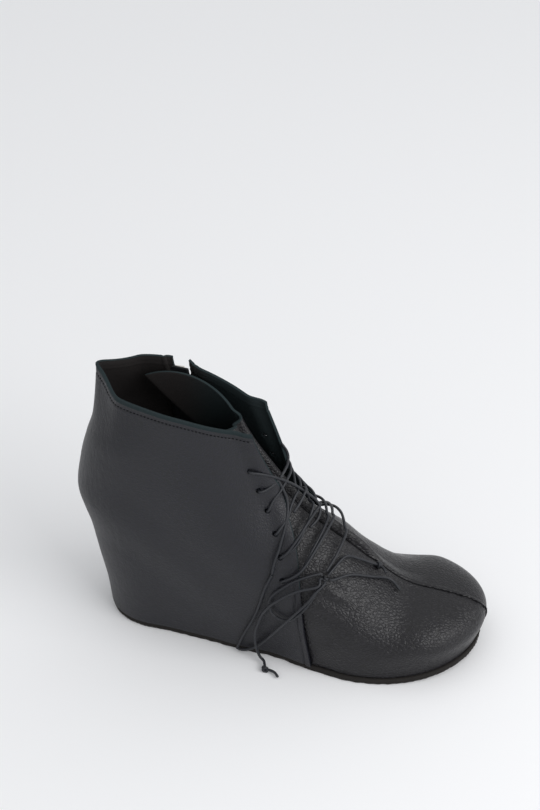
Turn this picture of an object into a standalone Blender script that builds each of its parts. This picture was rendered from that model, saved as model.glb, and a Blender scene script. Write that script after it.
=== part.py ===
"""Lace-up wedge ankle shoe for the right foot, empty and standing on its sole.

+X points to the toe, +Y to the inner (big-toe) side and +Z up. The origin is on the floor, under the
middle of the sole's length. One function, last_point, gives the foot form that the leather is pulled
over, and every curved piece is that form moved in or out by its own wall.
"""

import math

import bmesh
import bpy
import numpy as np
from mathutils import Matrix, Vector

MM = 0.001

# Sole and last
SOLE_LENGTH = 238 * MM
BALL_WIDTH = 96 * MM
HEEL_WIDTH = 58 * MM
TOE_INSET = 10 * MM
OUTSOLE_THICKNESS = 4.2 * MM
OUTSOLE_EDGE = 0.8 * MM
TOE_SPRING = 4 * MM
TOE_OVERHANG = 5 * MM
TOE_HEIGHT = 41 * MM
TOE_DEPTH = 22 * MM
INSTEP_DEPTH = 46 * MM
HEEL_LIFT = 84 * MM
BALL_LIFT = 17 * MM
SIDE_SWELL = 6 * MM
FLOOR_FLAT = 5 * MM

# Shaft and collar
BACK_HEIGHT = 178 * MM
THROAT_HEIGHT = 160 * MM
HEEL_OVERHANG = 16.6 * MM
SHAFT_WIDTH = 60 * MM
SHAFT_DEPTH = 58 * MM
HEEL_ROUND = 34 * MM

# Leather and the gaps between pieces
QUARTER_WALL = 1.8 * MM
VAMP_WALL = 1.6 * MM
INSOLE_THICKNESS = 3 * MM
PIECE_GAP = 0.35 * MM
TONGUE_CLEARANCE = 1.0 * MM
SEAM_BAND = 11 * MM
SEAM_DROP = 3.5 * MM
TONGUE_DROP = 6 * MM
TONGUE_TOP = THROAT_HEIGHT - TONGUE_DROP
TONGUE_ARCH = 10 * MM
WING_DROP = 10 * MM
WING_TOP = BACK_HEIGHT - WING_DROP
WING_REACH = 0.24
WING_LEAN = 0.42

# Lacing
EYELET_PAIRS = 6
EYELET_DIAMETER = 3.2 * MM
EYELET_MARGIN = 10.5 * MM
EYELET_DROP = 27 * MM
EYELET_TOP = THROAT_HEIGHT - EYELET_DROP
EYELET_BOTTOM = 64 * MM
LACE_DIAMETER = 1.8 * MM
LACE_HEIGHT = QUARTER_WALL + 5 * PIECE_GAP + LACE_DIAMETER / 2
KNOT_RADIUS = 2.4 * MM

# Zip on the inner side
ZIP_SLOT = 3.6 * MM
ZIP_NOTCH = 3.4 * MM
ZIP_BOTTOM = 36 * MM
ZIP_COIL_WIDTH = 2.8 * MM
ZIP_COIL_HEIGHT = 1.3 * MM
ZIP_DEPTH = 0.2 * MM
SLIDER_DROP = 16 * MM
SLIDER_HEIGHT = BACK_HEIGHT - SLIDER_DROP
SLIDER_LENGTH = 10 * MM
SLIDER_WIDTH = 7 * MM
SLIDER_PLATE = 1.4 * MM
PIN_RADIUS = 0.7 * MM
LINK_LENGTH = 8 * MM
LINK_BAR = 0.9 * MM
PULL_LENGTH = 34 * MM
PULL_WIDTH = 8 * MM
PULL_THICKNESS = 2.0 * MM
PULL_WINDOW = 6.5 * MM

# Widths along the foot, as shares: of the sole's length from the heel, and of the ball's width.
# The heel's own width replaces the ball's where the heel column is 1.
OUTLINE = [
    # along, heel, sole_outer, sole_inner, foot_outer, foot_inner
    (0.00, 1.0, 0.50, 0.50, 0.52, 0.52),
    (0.16, 1.0, 0.52, 0.52, 0.545, 0.545),
    (0.30, 0.6, 0.45, 0.395, 0.475, 0.435),
    (0.45, 0.0, 0.385, 0.27, 0.390, 0.325),
    (0.60, 0.0, 0.470, 0.380, 0.475, 0.405),
    (0.72, 0.0, 0.520, 0.475, 0.52, 0.485),
    (0.86, 0.0, 0.495, 0.490, 0.50, 0.495),
    (1.00, 0.0, 0.455, 0.465, 0.46, 0.47),
]

# How the shaft narrows to the front: share of the sole's length from its middle, share of its width.
SHAFT_TAPER = [
    # along, width
    (-0.60, 1.00),
    (-0.44, 1.00),
    (-0.38, 0.95),
    (-0.28, 0.86),
    (-0.19, 0.79),
    (-0.09, 0.70),
    (0.10, 0.64),
]

# The back's line: height as a share of the back's, and how far it stands out of the heel.
BACK_LINE = [
    # up, out
    (0.00, 0.00),
    (0.12, 0.13),
    (0.26, 0.41),
    (0.39, 0.66),
    (0.48, 0.87),
    (0.55, 1.00),
    (0.66, 0.90),
    (0.76, 0.63),
    (0.845, 0.34),
    (1.00, 0.18),
]

# The instep's line, where the round form would close: share of the sole's length from its middle,
# and rise from the toe's height to the throat's.
INSTEP_LINE = [
    # along, rise
    (-0.057, 1.21),
    (-0.050, 1.00),
    (-0.042, 0.815),
    (-0.025, 0.630),
    (0.013, 0.521),
    (0.069, 0.397),
    (0.107, 0.342),
    (0.147, 0.280),
    (0.183, 0.218),
    (0.221, 0.154),
    (0.251, 0.103),
    (0.292, 0.049),
    (0.336, 0.019),
    (0.400, 0.007),
    (0.500, 0.000),
    (0.570, 0.000),
]

# The tongue's middle line above the vamp: height as a share of the throat's, and share of the
# sole's length from its middle. It lies behind the quarters' edges near the collar.
TONGUE_LINE = [
    # up, along
    (1.10, -0.172),
    (1.00, -0.155),
    (0.94, -0.138),
    (0.86, -0.108),
    (0.77, -0.066),
    (0.69, -0.026),
    (0.62, 0.016),
    (0.56, 0.060),
]

# The quarters' front edge: height as a share of the throat's, share of the sole's length.
QUARTER_EDGE = [
    # up, along
    (0.00, 0.101),
    (0.20, 0.077),
    (0.37, 0.056),
    (0.54, 0.026),
    (0.64, -0.004),
    (0.76, -0.038),
    (0.89, -0.066),
    (1.00, -0.086),
    (1.15, -0.112),
]

# The collar's rim: share of the way from the back to the corner, drop from back to throat height.
RIM = [
    # along, drop
    (0.00, 0.00),
    (0.30, 0.10),
    (0.55, 0.32),
    (0.77, 0.68),
    (0.90, 0.90),
    (1.00, 1.00),
]

# The zip's line on the inner quarter: height as a share of the back's, and share of the way
# from the back's line to the quarter's front edge.
ZIP_LINE = [
    # up, along
    (0.00, 0.640),
    (0.18, 0.560),
    (0.31, 0.505),
    (0.53, 0.480),
    (0.73, 0.445),
    (0.92, 0.410),
    (1.05, 0.385),
]


def column(table, index):
    return [row[index] for row in table]


def smooth_table(x, xs, ys):
    """A smooth curve through a short table, with no overshoot between its rows."""
    xs, ys = np.asarray(xs, float), np.asarray(ys, float)
    x = np.clip(np.asarray(x, float), xs[0], xs[-1])
    step = np.diff(xs)
    slope = np.diff(ys) / step
    tangent = np.zeros(len(xs))
    tangent[0], tangent[-1] = slope[0], slope[-1]
    same = slope[:-1] * slope[1:] > 0
    inner = np.where(same, 2 * slope[:-1] * slope[1:] / np.where(same, slope[:-1] + slope[1:], 1), 0)
    tangent[1:-1] = inner
    k = np.clip(np.searchsorted(xs, x, side="right") - 1, 0, len(step) - 1)
    t = (x - xs[k]) / step[k]
    a = (1 + 2 * t) * (1 - t) ** 2
    b = t * (1 - t) ** 2 * step[k]
    c = t * t * (3 - 2 * t)
    d = t * t * (t - 1) * step[k]
    return a * ys[k] + b * tangent[k] + c * ys[k + 1] + d * tangent[k + 1]


def smoothstep(t):
    t = np.clip(t, 0, 1)
    return t * t * (3 - 2 * t)


def lerp(a, b, t):
    return a + (b - a) * t


def back_x(z):
    """Where the back's line is at a height."""
    out = smooth_table(z / BACK_HEIGHT, column(BACK_LINE, 0), column(BACK_LINE, 1))
    return -SOLE_LENGTH / 2 - HEEL_OVERHANG * out


def edge_x(z):
    """Where the quarters' front edge is at a height."""
    return SOLE_LENGTH * smooth_table(z / THROAT_HEIGHT, column(QUARTER_EDGE, 0), column(QUARTER_EDGE, 1))


def spring(x):
    """How far the sole is off the floor: nothing as far as the ball, then up to the toe."""
    start, end = 0.26 * SOLE_LENGTH, 0.5 * SOLE_LENGTH
    return TOE_SPRING * np.clip((x - start) / (end - start), 0, 1.1) ** 2


def floor_of_upper(x):
    return OUTSOLE_THICKNESS + spring(x) + PIECE_GAP


def bed_z(x):
    """Height of the wedge's top, which the insole lies on: high at the heel, low at the ball."""
    along = x / SOLE_LENGTH
    drop = smooth_table(along, [-0.5, -0.32, -0.15, 0.02, 0.16, 0.5], [1.0, 0.97, 0.72, 0.36, 0.0, 0.0])
    return lerp(BALL_LIFT, HEEL_LIFT, drop) + spring(x)


def instep_curve():
    along = np.linspace(0, 1, 181)
    rows = np.linspace(0, 1, len(INSTEP_LINE))
    x = SOLE_LENGTH * smooth_table(along, rows, column(INSTEP_LINE, 0))
    z = lerp(TOE_HEIGHT, THROAT_HEIGHT, smooth_table(along, rows, column(INSTEP_LINE, 1)))
    return np.stack([x, z], 1)


def tongue_curve():
    """The instep's line as far up as the vamp's joint, and the tongue's own line above it."""
    up = np.linspace(0, 1, 61)
    rows = np.linspace(0, 1, len(TONGUE_LINE))
    z = THROAT_HEIGHT * smooth_table(up, rows, column(TONGUE_LINE, 0))
    x = SOLE_LENGTH * smooth_table(up, rows, column(TONGUE_LINE, 1))
    below = INSTEP[INSTEP[:, 0] > (JOINT_ALONG - 0.059) * SOLE_LENGTH]
    return np.concatenate([np.stack([x, z], 1), below])


JOINT_ALONG = 0.155
INSTEP = instep_curve()
TONGUE = tongue_curve()


def line_distance(line, x, z):
    """Distance from a point of the side view to a line of it, positive below and behind."""
    p = np.stack([x, z], -1)[..., None, :]
    a, b = line[:-1], line[1:]
    ab = b - a
    t = np.clip(((p - a) * ab).sum(-1) / (ab**2).sum(-1), 0, 1)
    away = p - (a + t[..., None] * ab)
    k = np.argmin((away**2).sum(-1), axis=-1)
    nearest = np.take_along_axis(away, k[..., None, None], -2)[..., 0, :]
    side = ab[k][..., 0] * nearest[..., 1] - ab[k][..., 1] * nearest[..., 0]
    return np.where(side < 0, 1, -1) * np.sqrt((nearest**2).sum(-1))


def middle_y(x):
    """The last's middle line bends inwards from the ball to the toe."""
    return TOE_INSET * np.clip(x / SOLE_LENGTH + 0.5, 0, 1.05) ** 2.5


def base_half_width(x, z, side):
    """Half width before the toe, heel and top are rounded: sole, then foot, then shaft."""
    along = x / SOLE_LENGTH + 0.5
    share = column(OUTLINE, 0)
    unit = lerp(BALL_WIDTH, HEEL_WIDTH, smooth_table(along, share, column(OUTLINE, 1)))
    sole = unit * smooth_table(along, share, column(OUTLINE, 2 if side < 0 else 3))
    foot = unit * smooth_table(along, share, column(OUTLINE, 4 if side < 0 else 5))
    bed = bed_z(x)
    low = smoothstep((z - OUTSOLE_THICKNESS) / (bed - OUTSOLE_THICKNESS + SIDE_SWELL))
    high = smoothstep((z - bed) / (0.62 * BACK_HEIGHT))
    taper = smooth_table(x / SOLE_LENGTH, column(SHAFT_TAPER, 0), column(SHAFT_TAPER, 1))
    shaft = lerp(foot, taper * SHAFT_WIDTH / 2, smoothstep((0.22 - x / SOLE_LENGTH) / 0.25))
    return lerp(lerp(sole, foot, low), shaft, high)


TOE_POWER, HEEL_POWER, SIDE_POWER = 2.6, 2.3, 2.15
INSTEP_POWER, TOE_TOP_POWER = 2.15, 3.0
TOE_ROUND = 0.27 * SOLE_LENGTH


def fullness(x, z, line):
    """1 well inside the side view's outline, falling to 0 on it."""
    forward = smoothstep((x / SOLE_LENGTH - 0.18) / 0.2)
    up = smoothstep((z / THROAT_HEIGHT - 0.55) / 0.4)
    depth = lerp(lerp(INSTEP_DEPTH, SHAFT_DEPTH, up), TOE_DEPTH, forward)
    top = np.clip(1 - line_distance(line, x, z) / depth, 0, 2)
    lift = smoothstep((z - OUTSOLE_THICKNESS) / (0.5 * TOE_HEIGHT))
    tip = SOLE_LENGTH / 2 + TOE_OVERHANG * lift
    toe = np.clip(1 - (tip - x) / TOE_ROUND, 0, 2)
    back = np.clip(1 - (x - back_x(z)) / HEEL_ROUND, 0, 2)
    top_power = lerp(INSTEP_POWER, TOE_TOP_POWER, forward)
    return 1 - top**top_power - toe**TOE_POWER - back**HEEL_POWER


def half_width(x, z, side, line):
    full = fullness(x, z, line)
    full = np.where(full < 3e-5, 0, full)
    return base_half_width(x, z, side) * full ** (1 / SIDE_POWER)


def last_field(p, line):
    """Below 0 inside the last, 0 on it and above 0 outside."""
    x, y, z = np.moveaxis(p, -1, 0)
    off = y - middle_y(x)
    width = np.where(off < 0, base_half_width(x, z, -1), base_half_width(x, z, 1))
    return (np.abs(off) / width) ** SIDE_POWER - fullness(x, z, line)


def last_gradient(p, line):
    step = 0.2 * MM
    rises = [last_field(p + step * axis, line) - last_field(p - step * axis, line) for axis in np.eye(3)]
    return np.stack(rises, -1) / (2 * step)


def last_normal(p, line):
    """Unit normal of the last at points on it, pointing outwards."""
    gradient = last_gradient(p, line)
    return gradient / np.linalg.norm(gradient, axis=-1, keepdims=True)


def last_point(x, z, side, offset=0.0, line=INSTEP):
    """The point of the last at a place of the side view, moved out along its normal."""
    x, z = np.broadcast_arrays(np.asarray(x, float), np.asarray(z, float))
    y = middle_y(x) + side * half_width(x, z, side, line)
    p = np.stack([x, y, z], -1)
    out = last_normal(p, line)
    out[..., 2] *= smoothstep((z - floor_of_upper(x)) / FLOOR_FLAT)
    out /= np.linalg.norm(out, axis=-1, keepdims=True)
    return p + out * np.asarray(offset)[..., None]


def solve(function, low, high):
    """Where a function that falls through 0 does so between low and high."""
    low, high = np.array(low, float), np.array(high, float)
    for _ in range(26):
        middle = (low + high) / 2
        inside = function(middle) > 0
        low, high = np.where(inside, middle, low), np.where(inside, high, middle)
    return (low + high) / 2


def crown_z(x):
    """Height of the last's middle line over a place of the sole."""
    x = np.asarray(x, float)
    low = np.full_like(x, OUTSOLE_THICKNESS)
    high = np.full_like(x, THROAT_HEIGHT)
    return solve(lambda z: fullness(x, z, INSTEP), low, high)


def toe_x(z):
    """How far forward the last's middle line reaches at a height."""
    z = np.asarray(z, float)
    low = np.full_like(z, 0.3 * SOLE_LENGTH)
    high = np.full_like(z, 0.5 * SOLE_LENGTH + TOE_OVERHANG)
    return solve(lambda x: fullness(x, z, INSTEP), low, high)


# Building solids


def new_object(name, data, colour, roughness, metallic=0.0):
    obj = bpy.data.objects.new(name, data)
    bpy.context.scene.collection.objects.link(obj)
    material = bpy.data.materials.new(name + "_finish")
    material.use_nodes = True
    shader = material.node_tree.nodes["Principled BSDF"]
    shader.inputs["Base Color"].default_value = (*colour, 1)
    shader.inputs["Roughness"].default_value = roughness
    shader.inputs["Metallic"].default_value = metallic
    data.materials.clear()
    data.materials.append(material)
    return obj


def mesh_of(name, points, faces):
    """A closed mesh from points and faces, with its faces turned outwards."""
    bm = bmesh.new()
    verts = [bm.verts.new(p) for p in points]
    for face in faces:
        bm.faces.new([verts[k] for k in face])
    bmesh.ops.remove_doubles(bm, verts=bm.verts, dist=0.02 * MM)
    bmesh.ops.dissolve_degenerate(bm, edges=bm.edges, dist=0.01 * MM)
    bmesh.ops.recalc_face_normals(bm, faces=bm.faces)
    if bm.calc_volume(signed=True) < 0:
        bmesh.ops.reverse_faces(bm, faces=bm.faces)
    mesh = bpy.data.meshes.new(name)
    bm.to_mesh(mesh)
    bm.free()
    mesh.shade_smooth()
    mesh.set_sharp_from_angle(angle=math.radians(40))
    return mesh


def shell_mesh(name, outer, inner, faces):
    """A solid between two sheets of the same faces, closed along every open edge."""
    count = len(outer)
    ends = {}
    for face in faces:
        for a, b in zip(face, face[1:] + face[:1]):
            ends.setdefault(frozenset((a, b)), []).append((a, b))
    rims = [uses[0] for uses in ends.values() if len(uses) == 1]
    sides = [[b, a, a + count, b + count] for a, b in rims]
    back = [[k + count for k in reversed(face)] for face in faces]
    return mesh_of(name, [*outer, *inner], [*faces, *back, *sides])


def grid_faces(rows, columns, first=0, skip=()):
    """Faces of a grid of points numbered row by row. skip holds the (row, column) cells left open."""
    return [
        [first + r * columns + c, first + r * columns + c + 1]
        + [first + (r + 1) * columns + c + 1, first + (r + 1) * columns + c]
        for r in range(rows - 1)
        for c in range(columns - 1)
        if (r, c) not in skip
    ]


def ring(height, offset, count):
    """A closed loop round the last where it is cut at a height, which is a function of x."""
    along = (1 - np.cos(np.linspace(0, math.pi, count + 1))) / 2
    start, end = np.array(-SOLE_LENGTH / 2), np.array(SOLE_LENGTH / 2)
    for _ in range(4):
        start, end = back_x(height(start)), toe_x(height(end))
    x = lerp(start, end, along)
    level = height(x)
    outer = last_point(x, level, -1, offset)
    inner = last_point(x, level, 1, offset)
    loop = np.concatenate([outer, inner[-2:0:-1]])
    loop[:, 2] = np.concatenate([level, level[-2:0:-1]])
    return loop


def loops_mesh(name, loops):
    """A solid skinned over closed loops, each of the same number of points, and capped at its ends."""
    count = len(loops[0])
    points = np.concatenate(loops)
    faces = []
    for k in range(len(loops) - 1):
        for c in range(count):
            d = (c + 1) % count
            faces.append([k * count + c, k * count + d, (k + 1) * count + d, (k + 1) * count + c])
    last = (len(loops) - 1) * count
    for first in (0, last):
        half = count // 2
        faces.append([first, first + 1, first + count - 1])
        for c in range(1, half - 1):
            faces.append([first + c, first + c + 1, first + count - c - 1, first + count - c])
        faces.append([first + half - 1, first + half, first + half + 1])
    return mesh_of(name, points, faces)


# Sole, wedge and insole


def make_outsole():
    def outline(grow):
        return ring(lambda x: OUTSOLE_THICKNESS + spring(x), grow, 44)

    top = outline(OUTSOLE_EDGE)
    bottom = outline(OUTSOLE_EDGE - 0.6 * MM)
    waist = top.copy()
    top[:, 2] = OUTSOLE_THICKNESS + spring(top[:, 0])
    waist[:, 2] = 1.2 * MM + spring(waist[:, 0])
    bottom[:, 2] = spring(bottom[:, 0])
    mesh = loops_mesh("outsole", [bottom, waist, top])
    return new_object("outsole", mesh, (0.018, 0.016, 0.015), 0.7)


def drawn_in(loop, extra):
    """A loop round the last, drawn in level by the wedge's inset and an extra."""
    inward = last_normal(loop, INSTEP)
    inward[:, 2] = 0
    inward /= np.linalg.norm(inward, axis=-1, keepdims=True)
    return loop + inward * (wedge_inset(loop[:, 0]) - extra)[:, None]


def wedge_inset(x):
    """The wedge stays clear of the quarters behind the seam and of the thicker vamp in front."""
    ahead = smoothstep((x - edge_x(np.zeros_like(x)) + 3.2 * SEAM_BAND) / SEAM_BAND)
    behind = smoothstep((-0.38 - x / SOLE_LENGTH) / 0.1)
    return -PIECE_GAP * (1 + 0.6 * behind) - (VAMP_WALL + PIECE_GAP) * ahead


def make_wedge():
    def level(share):
        def height(x):
            low = OUTSOLE_THICKNESS + spring(x) + PIECE_GAP
            return lerp(low, bed_z(x), share)

        return drawn_in(ring(height, 0.0, 46), 0.0)

    mesh = loops_mesh("wedge", [level(share) for share in np.linspace(0, 1, 6)])
    return new_object("wedge", mesh, (0.35, 0.26, 0.17), 0.9)


def make_insole():
    def loop(lift):
        return drawn_in(ring(lambda x: bed_z(x) + lift, 0.0, 46), 1.4 * MM)

    mesh = loops_mesh("insole", [loop(PIECE_GAP), loop(PIECE_GAP + INSOLE_THICKNESS)])
    return new_object("insole", mesh, (0.03, 0.028, 0.03), 0.8)


# Upper

QUARTER_COLUMNS = 19
SEAM_ROWS = 7
LACED_ROWS = 9
VAMP_COLUMNS = 14
JOINT_ROWS = 6
JOINT_LIFT = 2.6 * MM


def slow_start(t):
    """Shares that start closely spaced, for columns round the back of the heel."""
    return (1 - np.cos(0.8 * math.pi * t)) / (1 - math.cos(0.8 * math.pi))


def rim_z(along):
    drop = smooth_table(along, column(RIM, 0), column(RIM, 1))
    return lerp(BACK_HEIGHT, THROAT_HEIGHT, drop)


def seam_top():
    """Height where the quarters' front edge leaves the vamp, under the lowest eyelet."""
    return EYELET_BOTTOM - SEAM_DROP


def quarter_row_heights(along, x_floor):
    """Heights of a quarter's rows at a share of the way from the back to the front edge."""
    low = np.linspace(0, 1, SEAM_ROWS + 1)[:, None]
    high = np.concatenate([[0.015], np.linspace(0, 1, LACED_ROWS)[1:]])[:, None]
    floor, top = floor_of_upper(x_floor)[None], rim_z(along)[None]
    split = floor + (top - floor) * (seam_top() - floor) / (THROAT_HEIGHT - floor)
    return np.concatenate([lerp(floor, split, low), lerp(split, top, high)])


def zip_share(z):
    return smooth_table(z / BACK_HEIGHT, column(ZIP_LINE, 0), column(ZIP_LINE, 1))


def quarter_grid(side):
    """Side-view places (x, z) of one quarter, rows from the sole up and columns from the back.

    On the inner side two of the columns are the zip slot's edges.
    """
    even = slow_start(np.linspace(0, 1, QUARTER_COLUMNS))
    floor_x = lerp(back_x(0.0), edge_x(0.0), even)
    z = quarter_row_heights(even, floor_x)
    start, end = back_x(z), edge_x(z)
    share = np.broadcast_to(even, z.shape).copy()
    if side > 0:
        split = QUARTER_COLUMNS // 2
        half_slot = zip_half_slot(z) / (end - start)
        middle = zip_share(z)
        left = np.linspace(0, 1, split) ** 1.9
        right = np.linspace(0, 1, QUARTER_COLUMNS - split)
        share[:, :split] = (middle - half_slot)[:, :split] * left
        near = (middle + half_slot)[:, split:]
        share[:, split:] = lerp(near, 1.0, right)
    return lerp(start, end, share), z, share


def zip_half_slot(z):
    """Half the zip slot's width: it opens into a notch at the slider."""
    return ZIP_SLOT / 2 + ZIP_NOTCH * smoothstep((z / BACK_HEIGHT - 0.82) / 0.08)


def zip_cells(z):
    """The cells of the inner quarter's grid that the zip slot leaves open."""
    split = QUARTER_COLUMNS // 2
    rows = len(z)
    return [(r, split - 1) for r in range(rows - 1) if z[r, split - 1] > ZIP_BOTTOM]


def patch(bottom, top, left, right, u, v):
    """Places of the side view spread evenly between four edges that meet at their ends."""
    u, v = u[None, :, None], v[:, None, None]
    ends = lerp(bottom[None], top[None], v) + lerp(left[:, None], right[:, None], u)
    corners = lerp(lerp(bottom[0], bottom[-1], u), lerp(top[0], top[-1], u), v)
    return ends - corners


def joint_line(count):
    """The vamp's top edge, from the quarters' front edge to the middle line."""
    height = seam_top() + JOINT_LIFT
    start = np.array([edge_x(height), height])
    end_x = JOINT_ALONG * SOLE_LENGTH
    end = np.array([end_x, float(crown_z(end_x))])
    step = np.linspace(0, 1, count)
    line = lerp(start, end, step[:, None])
    line[:, 0] = lerp(start[0], end[0], 1 - (1 - step) ** 1.6)
    return line


def vamp_grid():
    """Side-view places of half the vamp: columns from the quarters' edge to the toe, rows up."""
    edge_z = quarter_row_heights(np.array([1.0]), edge_x(np.array([0.0])))[: SEAM_ROWS + 1, 0]
    seam = np.stack([edge_x(edge_z), edge_z], 1)
    left = np.concatenate([seam, joint_line(JOINT_ROWS)])
    u = 1 - (1 - np.linspace(0, 1, VAMP_COLUMNS)) ** 1.8
    v = (left[:, 1] - left[0, 1]) / (left[-1, 1] - left[0, 1])
    v = lerp(v, 1 - (1 - v) ** 1.8, 0.7)
    corner_x = 0.5 * SOLE_LENGTH
    top_x = lerp(left[-1, 0], corner_x, u)
    top = np.stack([top_x, crown_z(top_x)], 1)
    right_z = lerp(floor_of_upper(corner_x), top[-1, 1], v)
    right = np.stack([toe_x(right_z), right_z], 1)
    right[-1] = top[-1]
    bottom_x = lerp(left[0, 0], right[0, 0], u)
    bottom = np.stack([bottom_x, floor_of_upper(bottom_x)], 1)
    bottom[-1] = right[0]
    grid = patch(bottom, top, left, right, u, v)
    return grid[..., 0], grid[..., 1]


def quarter_offsets(x, z, side):
    """Outer and inner wall offsets of a quarter: doubled over the vamp's edge, single elsewhere."""
    outer = np.full(x.shape, QUARTER_WALL + PIECE_GAP)
    near = smoothstep((x - edge_x(z) + 1.6 * SEAM_BAND) / (0.8 * SEAM_BAND))
    below = (np.arange(x.shape[0]) <= SEAM_ROWS)[:, None]
    inner = np.where(below, lerp(PIECE_GAP * 0.5, -VAMP_WALL, near), PIECE_GAP * 0.5)
    return outer, np.broadcast_to(inner, x.shape)


def make_upper():
    outer, inner, faces = [], [], []

    def add(points_out, points_in):
        first = sum(len(p) for p in outer)
        outer.append(points_out.reshape(-1, 3))
        inner.append(points_in.reshape(-1, 3))
        return first

    starts = {}
    for side in (-1, 1):
        x, z, _ = quarter_grid(side)
        out, into = quarter_offsets(x, z, side)
        starts[side] = add(last_point(x, z, side, out), last_point(x, z, side, into))
        skip = set(zip_cells(z)) if side > 0 else set()
        faces += grid_faces(*x.shape, starts[side], skip)
    x, z = vamp_grid()
    vamp_start = {}
    for side in (-1, 1):
        wall = np.zeros_like(x)
        vamp_start[side] = add(last_point(x, z, side, wall), last_point(x, z, side, wall - VAMP_WALL))
        faces += grid_faces(*x.shape, vamp_start[side])
        for r in range(SEAM_ROWS):
            last = starts[side] + r * QUARTER_COLUMNS + QUARTER_COLUMNS - 1
            faces.append(
                [last, vamp_start[side] + r * VAMP_COLUMNS]
                + [vamp_start[side] + (r + 1) * VAMP_COLUMNS, last + QUARTER_COLUMNS]
            )
    points, merged = weld(np.concatenate(outer))
    hidden = np.concatenate(inner)[merged]
    index = weld_index(np.concatenate(outer), merged)
    faces = [clean_face([index[k] for k in face]) for face in faces]
    faces = oriented([face for face in faces if len(face) > 2])
    mesh = shell_mesh("upper", points, hidden, faces)
    upper = new_object("upper", mesh, (0.03, 0.031, 0.034), 0.5)
    for cutter in eyelet_cutters():
        cut = upper.modifiers.new("eyelet", "BOOLEAN")
        cut.object = cutter
        cut.operation = "DIFFERENCE"
        cut.solver = "EXACT"
    return upper


def weld(points):
    """The points with doubles left out, and the first index of each."""
    key = np.round(points / (0.05 * MM)).astype(int)
    _, first = np.unique(key, axis=0, return_index=True)
    first = np.sort(first)
    return points[first], first


def weld_index(points, first):
    key = [tuple(k) for k in np.round(points / (0.05 * MM)).astype(int)]
    number = {key[k]: n for n, k in enumerate(first)}
    return [number[k] for k in key]


def clean_face(face):
    kept = []
    for k in face:
        if k not in kept:
            kept.append(k)
    return kept


def oriented(faces):
    """The faces of one sheet, all turned the same way."""
    by_edge = {}
    for n, face in enumerate(faces):
        for a, b in zip(face, face[1:] + face[:1]):
            by_edge.setdefault(frozenset((a, b)), []).append(n)
    done = {0}
    waiting = [0]
    while waiting:
        n = waiting.pop()
        directed = {(a, b) for a, b in zip(faces[n], faces[n][1:] + faces[n][:1])}
        for a, b in directed:
            for m in by_edge[frozenset((a, b))]:
                if m in done:
                    continue
                other = faces[m]
                if (a, b) in {(c, d) for c, d in zip(other, other[1:] + other[:1])}:
                    faces[m] = other[::-1]
                done.add(m)
                waiting.append(m)
    return faces


# Tongue

TONGUE_COLUMNS = 12
TONGUE_ROWS = 12


def tongue_grid():
    """Side-view places of half the tongue: columns from its middle line to the wing's back edge."""
    joint = joint_line(JOINT_ROWS)
    up = np.linspace(0, 1, TONGUE_ROWS)
    back_bottom = joint[0] + np.array([-2.2 * SEAM_BAND, 0.5 * SEAM_BAND])
    under = lerp(joint[0], back_bottom, np.linspace(0, 1, TONGUE_COLUMNS - JOINT_ROWS + 1)[1:, None])
    bottom = np.concatenate([joint[::-1], under]) + np.array([0, 1.6 * PIECE_GAP])
    length = np.concatenate([[0], np.cumsum(np.linalg.norm(np.diff(bottom, axis=0), axis=1))])
    spread = length / length[-1]
    wing_x = lerp(back_x(WING_TOP), edge_x(WING_TOP), WING_REACH)
    wing_top = np.array([wing_x, WING_TOP])
    height = lerp(bottom[0, 1], TONGUE_TOP, up)
    order = np.argsort(TONGUE[:, 1])
    middle = np.stack([np.interp(height, TONGUE[order, 1], TONGUE[order, 0]), height], 1)
    middle[0] = bottom[0]
    edge = lerp(bottom[-1], wing_top, up[:, None])
    top = lerp(middle[-1], wing_top, spread[:, None])
    top[:, 1] += TONGUE_ARCH * 4 * spread * (1 - spread)
    grid = patch(bottom, top, middle, edge, spread, up)
    return grid[..., 0], grid[..., 1], up


def make_tongue():
    x, z, up = tongue_grid()
    clear = lerp(1.6 * PIECE_GAP, TONGUE_CLEARANCE, smoothstep(up / 0.2))[:, None]
    outer, inner, faces = [], [], []
    for side in (-1, 1):
        lean = (WING_LEAN if side > 0 else 0.1 * WING_LEAN) * up[:, None] ** 3 * np.linspace(0, 1, x.shape[1])
        sheets = []
        for offset in (-clear, -clear - VAMP_WALL):
            sheet = last_point(x, z, side, np.broadcast_to(offset, x.shape), TONGUE)
            middle = middle_y(sheet[..., 0])
            sheet[..., 1] = middle + (sheet[..., 1] - middle) * (1 - lean)
            sheets.append(sheet.reshape(-1, 3))
        faces += grid_faces(*x.shape, sum(len(p) for p in outer))
        outer.append(sheets[0])
        inner.append(sheets[1])
    points, kept = weld(np.concatenate(outer))
    index = weld_index(np.concatenate(outer), kept)
    faces = [clean_face([index[k] for k in face]) for face in faces]
    faces = oriented([face for face in faces if len(face) > 2])
    mesh = shell_mesh("tongue", points, np.concatenate(inner)[kept], faces)
    return new_object("tongue", mesh, (0.025, 0.026, 0.03), 0.45)


# Zip


def box_mesh(name, low, high, frame_axes, origin):
    """A box between two corners given in a local frame, placed in the shoe."""
    corners = np.array([[x, y, z] for x in (low[0], high[0]) for y in (low[1], high[1]) for z in (low[2], high[2])])
    faces = [[0, 1, 3, 2], [4, 6, 7, 5], [0, 4, 5, 1], [2, 3, 7, 6], [0, 2, 6, 4], [1, 5, 7, 3]]
    return mesh_of(name, origin + corners @ frame_axes, faces)


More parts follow.
